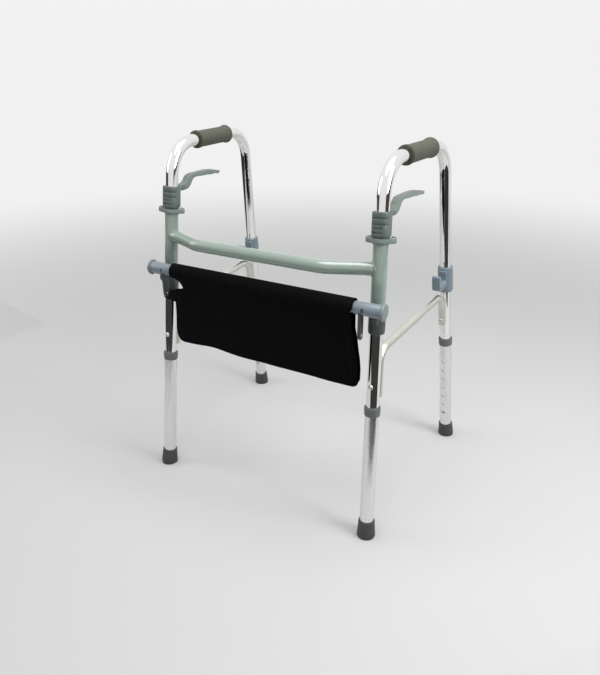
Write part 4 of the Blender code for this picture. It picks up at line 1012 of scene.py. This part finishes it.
for side, sign in SIDES.items():
    place = leg_place(side, "front")
    profile = [(0, 0.4405), (0.0148, 0.4405), (0.0152, 0.4410), (0.0157, 0.4440), (0.0160, 0.4480),
               (0.0160, 0.4836), (0, 0.4836)]
    holder = raw_object(f"{side}_bracket", turned(rounded(profile, 0.0006, 2, keep=(0, 6)), 56), place)
    low_x, high_x = sorted((sign * 0.2405, sign * 0.2541))
    boolean(holder, block((low_x, -0.2050, 0.4640), (high_x, -0.1940, 0.4940)), "UNION", Matrix())
    low_x, high_x = sorted((sign * 0.2415, sign * 0.2531))
    boolean(holder, block((low_x, -0.2020, 0.4600), (high_x, -0.1830, 0.4790)), "UNION", Matrix())
    soften(holder, 0.0008, 2, 50)
    clear = BAR_R + 0.0022
    channel = moved(rod(clear, 0.20, 0.28), across_turn(sign, BAR_Y, BAR_Z))
    boolean(holder, channel, "DIFFERENCE", Matrix())
    boolean(holder, rod(SLEEVE_BORE_R, 0.43, 0.4950), "DIFFERENCE")
    dress(holder, "cross_frame", BRACKET_GREY_AND_SLIT_SHADE, [f"{side}_seat_bracket"])

    low_x, high_x = sorted(sign * x for x in FINGER_X[side])
    shape = moved(plate(finger_outline(), low_x, high_x), UPRIGHT_PLATE)
    finger = raw_object(f"{side}_finger", shape, Matrix())
    soften(finger, 0.0007, 2, 50)
    rivet_hole = rod(0.0019, 0.20, 0.25, 20)
    boolean(finger, moved(rivet_hole, across_turn(sign, FINGER_Y, FINGER_RIVET_Z)), "DIFFERENCE")
    boolean(finger, channel, "DIFFERENCE", Matrix())
    dress(finger, "cross_frame", BRACKET_GREY_AND_SLIT_SHADE)
    inner, outer = FINGER_X[side][0] - CLEARANCE, FINGER_X[side][1] + CLEARANCE
    rivet = [(0, inner - 0.0011), (0.0020, inner - 0.0010), (0.0028, inner), (0.0016, inner),
             (0.0016, outer), (0.0028, outer), (0.0020, outer + 0.0010), (0, outer + 0.0011)]
    turn = across_turn(sign, FINGER_Y, FINGER_RIVET_Z)
    piece(f"{side}_finger_pin", moved(turned(rivet, 24), turn), Matrix(), "cross_frame", STEEL,
          [f"{side}_finger_rivet"])
print("brackets on both legs")

# %% [markdown]
# ## The sling
# The sling is one length of black cloth, folded over the seat bar and sewn
# below it, so that two layers hang down and meet in a fold. It is built as a
# grid that follows that loop, with long shallow folds falling from the bar
# and softly rounded lower corners. A strap from its left edge goes round the
# front leg, and above it the edge is drawn in to a sharp notch.

# %% Sling edges and layers
SLING_THICK = 0.0014
HEM_R = BAR_R + 0.0054
SLING_BOTTOM, SLING_RISE, RISE_X, RISE_WIDTH = 0.3325, 0.0058, -0.112, 0.055
CORNER_R = {-1: 0.0170, 1: 0.0120}
SLING_COLUMNS = 110
SEAM_Z = 0.4800
SLING_FRONT, SLING_BACK = BAR_Y - 0.0052, BAR_Y + 0.0092
NOTCH_DROP = 0.0060
SLING_EDGES = {
    -1: ((0.5115, -0.2060), (0.4850, -0.2052), (0.4800, -0.1930), (0.4769, -0.1864), (0.4738, -0.1831),
         (0.4684, -0.1791), (0.4625, -0.1768), (0.4606, -0.1860), (0.4595, -0.1945), (0.4560, -0.1990),
         (0.4377, -0.2021), (0.4080, -0.2034), (0.3715, -0.2073), (0.3300, -0.2080)),
    1: ((0.5115, 0.2135), (0.4930, 0.2122), (0.4748, 0.2112), (0.4491, 0.2122), (0.4239, 0.2176),
        (0.3819, 0.2243), (0.3654, 0.2260), (0.3300, 0.2265)),
}


def sling_edge(sign, z):
    """The x of the sling's left (-1) or right (+1) edge at a height."""
    points = SLING_EDGES[sign]
    for (high, x_high), (low, x_low) in zip(points, points[1:]):
        if z >= low:
            return x_high + (x_low - x_high) * min(1.0, (high - z) / (high - low))
    return points[-1][1]


def corner_lift(inward, radius):
    """How far the rounded lower corner rises at a distance in from the edge."""
    if inward >= radius:
        return 0.0
    return radius - math.sqrt(radius ** 2 - (radius - max(inward, 0.0)) ** 2)


def sling_point(f, s):
    """A point of the cloth: f runs across, s runs round the loop from the front seam."""
    left, right = SLING_EDGES[-1][-1][1], SLING_EDGES[1][-1][1]
    x = left + (right - left) * f
    wave = 0.0011 * math.sin(24 * x + 0.4) + 0.0007 * math.sin(57 * x + 1.3)
    bottom = SLING_BOTTOM + SLING_RISE * math.exp(-((x - RISE_X) / RISE_WIDTH) ** 2)
    bottom += corner_lift(x - left, CORNER_R[-1]) + corner_lift(right - x, CORNER_R[1])
    radius = HEM_R - 0.5 * SLING_THICK
    top_z, lowest_z = 0.4820, bottom + 0.005
    if s < 0.42:
        t = s / 0.42
        z = top_z + (lowest_z - top_z) * t
        y = SLING_FRONT - 0.0035 * (1 - t) ** 3 + wave * min(1.0, t * 1.6) - 0.0010 * math.sin(math.pi * t)
    elif s < 0.50:
        a = math.pi * (s - 0.42) / 0.08
        middle, swing = 0.5 * (SLING_FRONT + SLING_BACK), 0.5 * (SLING_BACK - SLING_FRONT)
        y = middle - swing * math.cos(a) + wave * (1 - (s - 0.42) / 0.16)
        z = lowest_z - 0.005 * math.sin(a)
    elif s < 0.86:
        t = (s - 0.50) / 0.36
        z = lowest_z + (top_z - lowest_z) * t
        y = SLING_BACK + 0.6 * wave * (1 - t) + 0.0010 * math.sin(math.pi * t)
        y += (BAR_Y + radius * math.cos(math.radians(-42)) - SLING_BACK) * t ** 5
    else:
        a = math.radians(-42 + 264 * (s - 0.86) / 0.14)
        y = BAR_Y + radius * math.cos(a)
        z = BAR_Z + radius * math.sin(a)
    behind = min(1.0, max(0.0, (y - SLING_FRONT) / (SLING_BACK - SLING_FRONT)))
    low_x, high_x = sling_edge(-1, z + NOTCH_DROP * behind), sling_edge(1, z)
    return Vector((low_x + (high_x - low_x) * f, y, z))


print("notch reaches in to x", sling_edge(-1, 0.4625))

# %% Cloth mesh
loop_steps = [0.42 * k / 56 for k in range(56)]
loop_steps += [0.42 + 0.08 * k / 10 for k in range(10)]
loop_steps += [0.50 + 0.36 * k / 56 for k in range(56)]
loop_steps += [0.86 + 0.14 * k / 22 for k in range(23)]
grid = bmesh.new()
rows = []
for s in loop_steps:
    rows.append([grid.verts.new(sling_point(i / SLING_COLUMNS, s)) for i in range(SLING_COLUMNS + 1)])
for one, two in zip(rows, rows[1:]):
    for i in range(SLING_COLUMNS):
        grid.faces.new((one[i], one[i + 1], two[i + 1], two[i]))
for vert in grid.verts:
    wrinkle = noise.noise(vert.co * 38) * 0.0006 + noise.noise(vert.co * 95) * 0.00025
    vert.co.y += wrinkle if vert.co.z < 0.482 else 0.0
cloth_mesh = bpy.data.meshes.new("sling_fabric")
bmesh.ops.recalc_face_normals(grid, faces=grid.faces)
middle_line = [sling_point(0.5, s) for s in loop_steps]
grid.to_mesh(cloth_mesh)
grid.free()
sling = linked("sling_fabric", cloth_mesh)
thicken(sling, SLING_THICK)
dress(sling, "cross_frame", CLOTH, ["seat_sling"], angle=80)

# %% [markdown]
# The seam under the bar and the hems along the sides are sewn. Each stitch is
# a short rounded thread that lies on the cloth, which shows as a fine dotted
# line in slanting light.

# %% Stitches
STITCH, STITCH_GAP, STITCH_R = 0.0026, 0.0038, 0.00028


def stitch(start, end, lift):
    middle = (start + end) * 0.5 + lift * 0.0003
    return swept([start - lift * 0.0004, middle, end - lift * 0.0004], STITCH_R, None, 6)


def cloth_front(x, z):
    """A point on the outside of the front layer at (x, z)."""
    t = (0.4820 - z) / (0.4820 - SLING_BOTTOM - 0.005)
    f = (x - sling_edge(-1, z)) / (sling_edge(1, z) - sling_edge(-1, z))
    point = sling_point(f, 0.42 * min(max(t, 0.0), 1.0))
    wrinkle = noise.noise(point * 38) * 0.0006 + noise.noise(point * 95) * 0.00025
    return Vector((x, point.y + wrinkle - 0.5 * SLING_THICK - 0.0001, z))


stitches = []
out = Vector((0, -1, 0))
x = -0.196
while x < 0.205:
    stitches.append(stitch(cloth_front(x, SEAM_Z), cloth_front(x + STITCH, SEAM_Z), out))
    x += STITCH_GAP
for sign in (-1, 1):
    z = 0.4500
    while z > SLING_BOTTOM + 0.030:
        x_low, x_high = (sling_edge(sign, h) - sign * 0.0110 for h in (z, z - STITCH))
        stitches.append(stitch(cloth_front(x_low, z), cloth_front(x_high, z - STITCH), out))
        z -= STITCH_GAP
seams = piece("sling_stitching", together(stitches), Matrix(), "cross_frame", THREAD,
              angle=80)
print("stitches:", len(stitches))

# %% [markdown]
# The strap is a flat webbing band. It leaves the sling's left edge, passes
# round the leg just below the bracket and comes back on itself.

# %% Strap round the left leg
STRAP_R, STRAP_THICK = 0.0142, 0.0014

place = leg_place("left", "front")
back = place.inverted()
anchor = back @ Vector((-0.2028, SLING_BACK, 0.4290))
reach, aim = math.hypot(anchor.x, anchor.y), math.atan2(anchor.y, anchor.x)
spread = math.acos(STRAP_R / reach)
centres = []
tip_in = Vector((math.cos(aim), math.sin(aim)))
tip_side = Vector((-tip_in.y, tip_in.x))
for k in range(9):
    f = k / 8
    start = tip_in * (reach + 0.004) + tip_side * 0.0009
    meet = Vector((math.cos(aim + spread), math.sin(aim + spread))) * STRAP_R
    centres.append(start.lerp(meet, f))
for k in range(1, 40):
    a = aim + spread + (2 * math.pi - 2 * spread) * k / 40
    centres.append(Vector((math.cos(a), math.sin(a))) * STRAP_R)
for k in range(9):
    f = k / 8
    meet = Vector((math.cos(aim - spread), math.sin(aim - spread))) * STRAP_R
    end = tip_in * (reach + 0.004) - tip_side * 0.0009
    centres.append(meet.lerp(end, f))
band = bmesh.new()
columns = []
for i, centre in enumerate(centres):
    near_sling = max(0.0, 1.0 - min(i, len(centres) - 1 - i) / 9)
    low = 0.4215
    high = 0.4393 + 0.0060 * near_sling
    columns.append([band.verts.new((centre.x, centre.y, low + (high - low) * k / 6)) for k in range(7)])
for one, two in zip(columns, columns[1:]):
    for k in range(6):
        band.faces.new((one[k], two[k], two[k + 1], one[k + 1]))
bmesh.ops.recalc_face_normals(band, faces=band.faces)
strap_mesh = bpy.data.meshes.new("leg_strap")
band.to_mesh(strap_mesh)
band.free()
strap = linked("leg_strap", strap_mesh)
strap.matrix_world = place
thicken(strap, STRAP_THICK)
dress(strap, "cross_frame", WEBBING, ["sling_strap"], angle=60)

# %% [markdown]
# ## Studio
# A pale floor meets a pale surround. Light Path tells the two uses of a
# surface apart: what the eye or a mirror sees, and what lights the object.
# Far from the walker the floor takes the colour of the surround, so that no
# horizon shows, and near it the floor is plain and keeps the shadow.

# %% Floor and surround
HORIZON, ZENITH = 0.88, 0.97


def where_seen(tree):
    """1 for the eye, a mirror and clear plastic, and 0 for the light itself."""
    path = add(tree, "ShaderNodeLightPath")
    value = path.outputs["Is Camera Ray"]
    for other in ("Is Glossy Ray", "Is Transmission Ray"):
        either = add(tree, "ShaderNodeMath", {"operation": "MAXIMUM"})
        tree.links.new(value, either.inputs[0])
        tree.links.new(path.outputs[other], either.inputs[1])
        value = either.outputs["Value"]
    return value


def mix_into(tree, factor, unseen, seen, surface):
    mixed = add(tree, "ShaderNodeMixShader")
    for source, socket in ((factor, mixed.inputs["Fac"]), (unseen, mixed.inputs[1]),
                           (seen, mixed.inputs[2]), (mixed.outputs["Shader"], surface)):
        tree.links.new(source, socket)


def plain_stage(name, colour, rough):
    material, tree, shader = node_material(name)
    shader.inputs["Roughness"].default_value = rough
    shader.inputs["Specular IOR Level"].default_value = 0.2
    speck = add(tree, "ShaderNodeTexNoise", (), {"Scale": 3.0})
    colour_mix(tree, speck.outputs["Fac"], [c * 0.98 for c in colour], colour, shader)
    return material


FLOOR_R = 24.0
rim = [(FLOOR_R * math.cos(k * math.pi / 48), FLOOR_R * math.sin(k * math.pi / 48)) for k in range(96)]
floor = raw_object("floor", plate(rim, -0.02, -0.0002), Matrix())
pale = plain_stage("pale_floor", (0.60, 0.60, 0.60), 0.6)
tree = pale.node_tree
where = add(tree, "ShaderNodeTexCoord")
away = add(tree, "ShaderNodeVectorMath", {"operation": "LENGTH"})
tree.links.new(where.outputs["Object"], away.inputs[0])
fade = add(tree, "ShaderNodeMapRange", {"interpolation_type": "SMOOTHSTEP"},
           {"From Min": 0.6, "From Max": 3.6})
tree.links.new(away.outputs["Value"], fade.inputs["Value"])
share = add(tree, "ShaderNodeMath", {"operation": "MULTIPLY"})
tree.links.new(fade.outputs["Result"], share.inputs[0])
tree.links.new(where_seen(tree), share.inputs[1])
glow = add(tree, "ShaderNodeEmission", (), {"Color": (HORIZON, HORIZON, HORIZON, 1.0)})
mix_into(tree, share.outputs["Value"], tree.nodes["Principled BSDF"].outputs["BSDF"],
         glow.outputs["Emission"], tree.nodes["Material Output"].inputs["Surface"])
floor.data.materials.append(pale)
floor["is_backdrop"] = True

world = bpy.data.worlds.new("surround")
bpy.context.scene.world = world
world.use_nodes = True
tree = world.node_tree
ambient = tree.nodes["Background"]
ambient.inputs["Color"].default_value = (0.98, 0.99, 1.0, 1.0)
ambient.inputs["Strength"].default_value = 0.38
sky = add(tree, "ShaderNodeBackground", (), {"Color": (1.0, 1.0, 1.0, 1.0)})
where = add(tree, "ShaderNodeTexCoord")
axes = add(tree, "ShaderNodeSeparateXYZ")
tree.links.new(where.outputs["Generated"], axes.inputs["Vector"])
rise = add(tree, "ShaderNodeMapRange", (), {"From Max": 0.5, "To Min": HORIZON, "To Max": ZENITH})
tree.links.new(axes.outputs["Z"], rise.inputs["Value"])
tree.links.new(rise.outputs["Result"], sky.inputs["Strength"])
mix_into(tree, where_seen(tree), ambient.outputs["Background"], sky.outputs["Background"],
         tree.nodes["World Output"].inputs["Surface"])
print("floor and surround set")

# %% [markdown]
# Three soft lamps light the object at a plain level: a large one above and
# one at each side. Chrome shows only what stands round it. The dark lines
# that make a tube look round are painted reflections: a dark sheet on the
# floor in front stands for the unlit room, and two brown boards stand beside
# it. The eye, the lamps and the shadows pass through all three, so they show
# in reflections alone.

# %% Lamps, and dark sheets for the reflections
def soft_lamp(name, spot, target, size, power):
    data = bpy.data.lights.new(name, "AREA")
    data.shape = "RECTANGLE"
    data.size, data.size_y = size
    data.energy = power
    item = linked(name, data)
    item.location = spot
    item.rotation_mode = "QUATERNION"
    item.rotation_quaternion = (Vector(target) - Vector(spot)).to_track_quat("-Z", "Y")
    return item


def dark_strip(name, first_turn, last_turn, near, far, material, steps=48):
    """Strip round the walker between two edges; each gives (distance, height) at a turn."""
    verts, faces = [], []
    for k in range(steps + 1):
        turn = first_turn + (last_turn - first_turn) * k / steps
        a = math.radians(turn)
        for distance, height in (near(turn), far(turn)):
            verts.append((distance * math.sin(a), -distance * math.cos(a), height))
    for k in range(steps):
        faces.append((2 * k, 2 * k + 1, 2 * k + 3, 2 * k + 2))
    strip = raw_object(name, (verts, faces), Matrix())
    strip.data.materials.append(material)
    # Painted reflection: the strip is hidden from the eye, from diffuse light and from shadows, so it shows
    # as dark in reflections alone.
    strip.visible_camera = False
    strip.visible_diffuse = False
    strip.visible_shadow = False
    strip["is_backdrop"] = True


soft_lamp("above", (0.2, -0.2, 2.5), (0.0, 0.0, 0.4), (1.6, 1.4), 42.0)
soft_lamp("left_side", (-2.0, -1.0, 1.5), (0.0, 0.0, 0.4), (0.9, 1.4), 10.0)
soft_lamp("right_side", (1.6, -0.1, 1.3), (0.2, 0.0, 0.5), (0.7, 1.0), 16.0)

# Colours of the painted reflections: dark shade for the unlit room in front, and brown for the boards.
REFLECTED_ROOM_SHADE = plain_stage("reflected_room_shade", (0.02, 0.018, 0.016), 0.9)
REFLECTED_BROWN_BOARD = plain_stage("reflected_brown_board", (0.12, 0.095, 0.085), 0.9)
SHEET_EDGE, SHEET_FACING, SHEET_END = 0.70, 45, 3.1
dark_strip("dark_sheet", -100, 85,
           lambda turn: (SHEET_EDGE / max(0.56, math.cos(math.radians(turn - SHEET_FACING))), 0.003),
           lambda turn: (SHEET_END, 0.003), REFLECTED_ROOM_SHADE)
for name, first_turn, last_turn in (("left_board", -106, -35), ("right_board", 62, 129)):
    dark_strip(name, first_turn, last_turn, lambda turn: (SHEET_END, 0.25), lambda turn: (SHEET_END, 1.0),
               REFLECTED_BROWN_BOARD)
print("three lamps and three dark strips")

# %% Sizes, and the closing line
low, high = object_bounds()
print("visual box", [round(v, 4) for v in (*low, *high)])
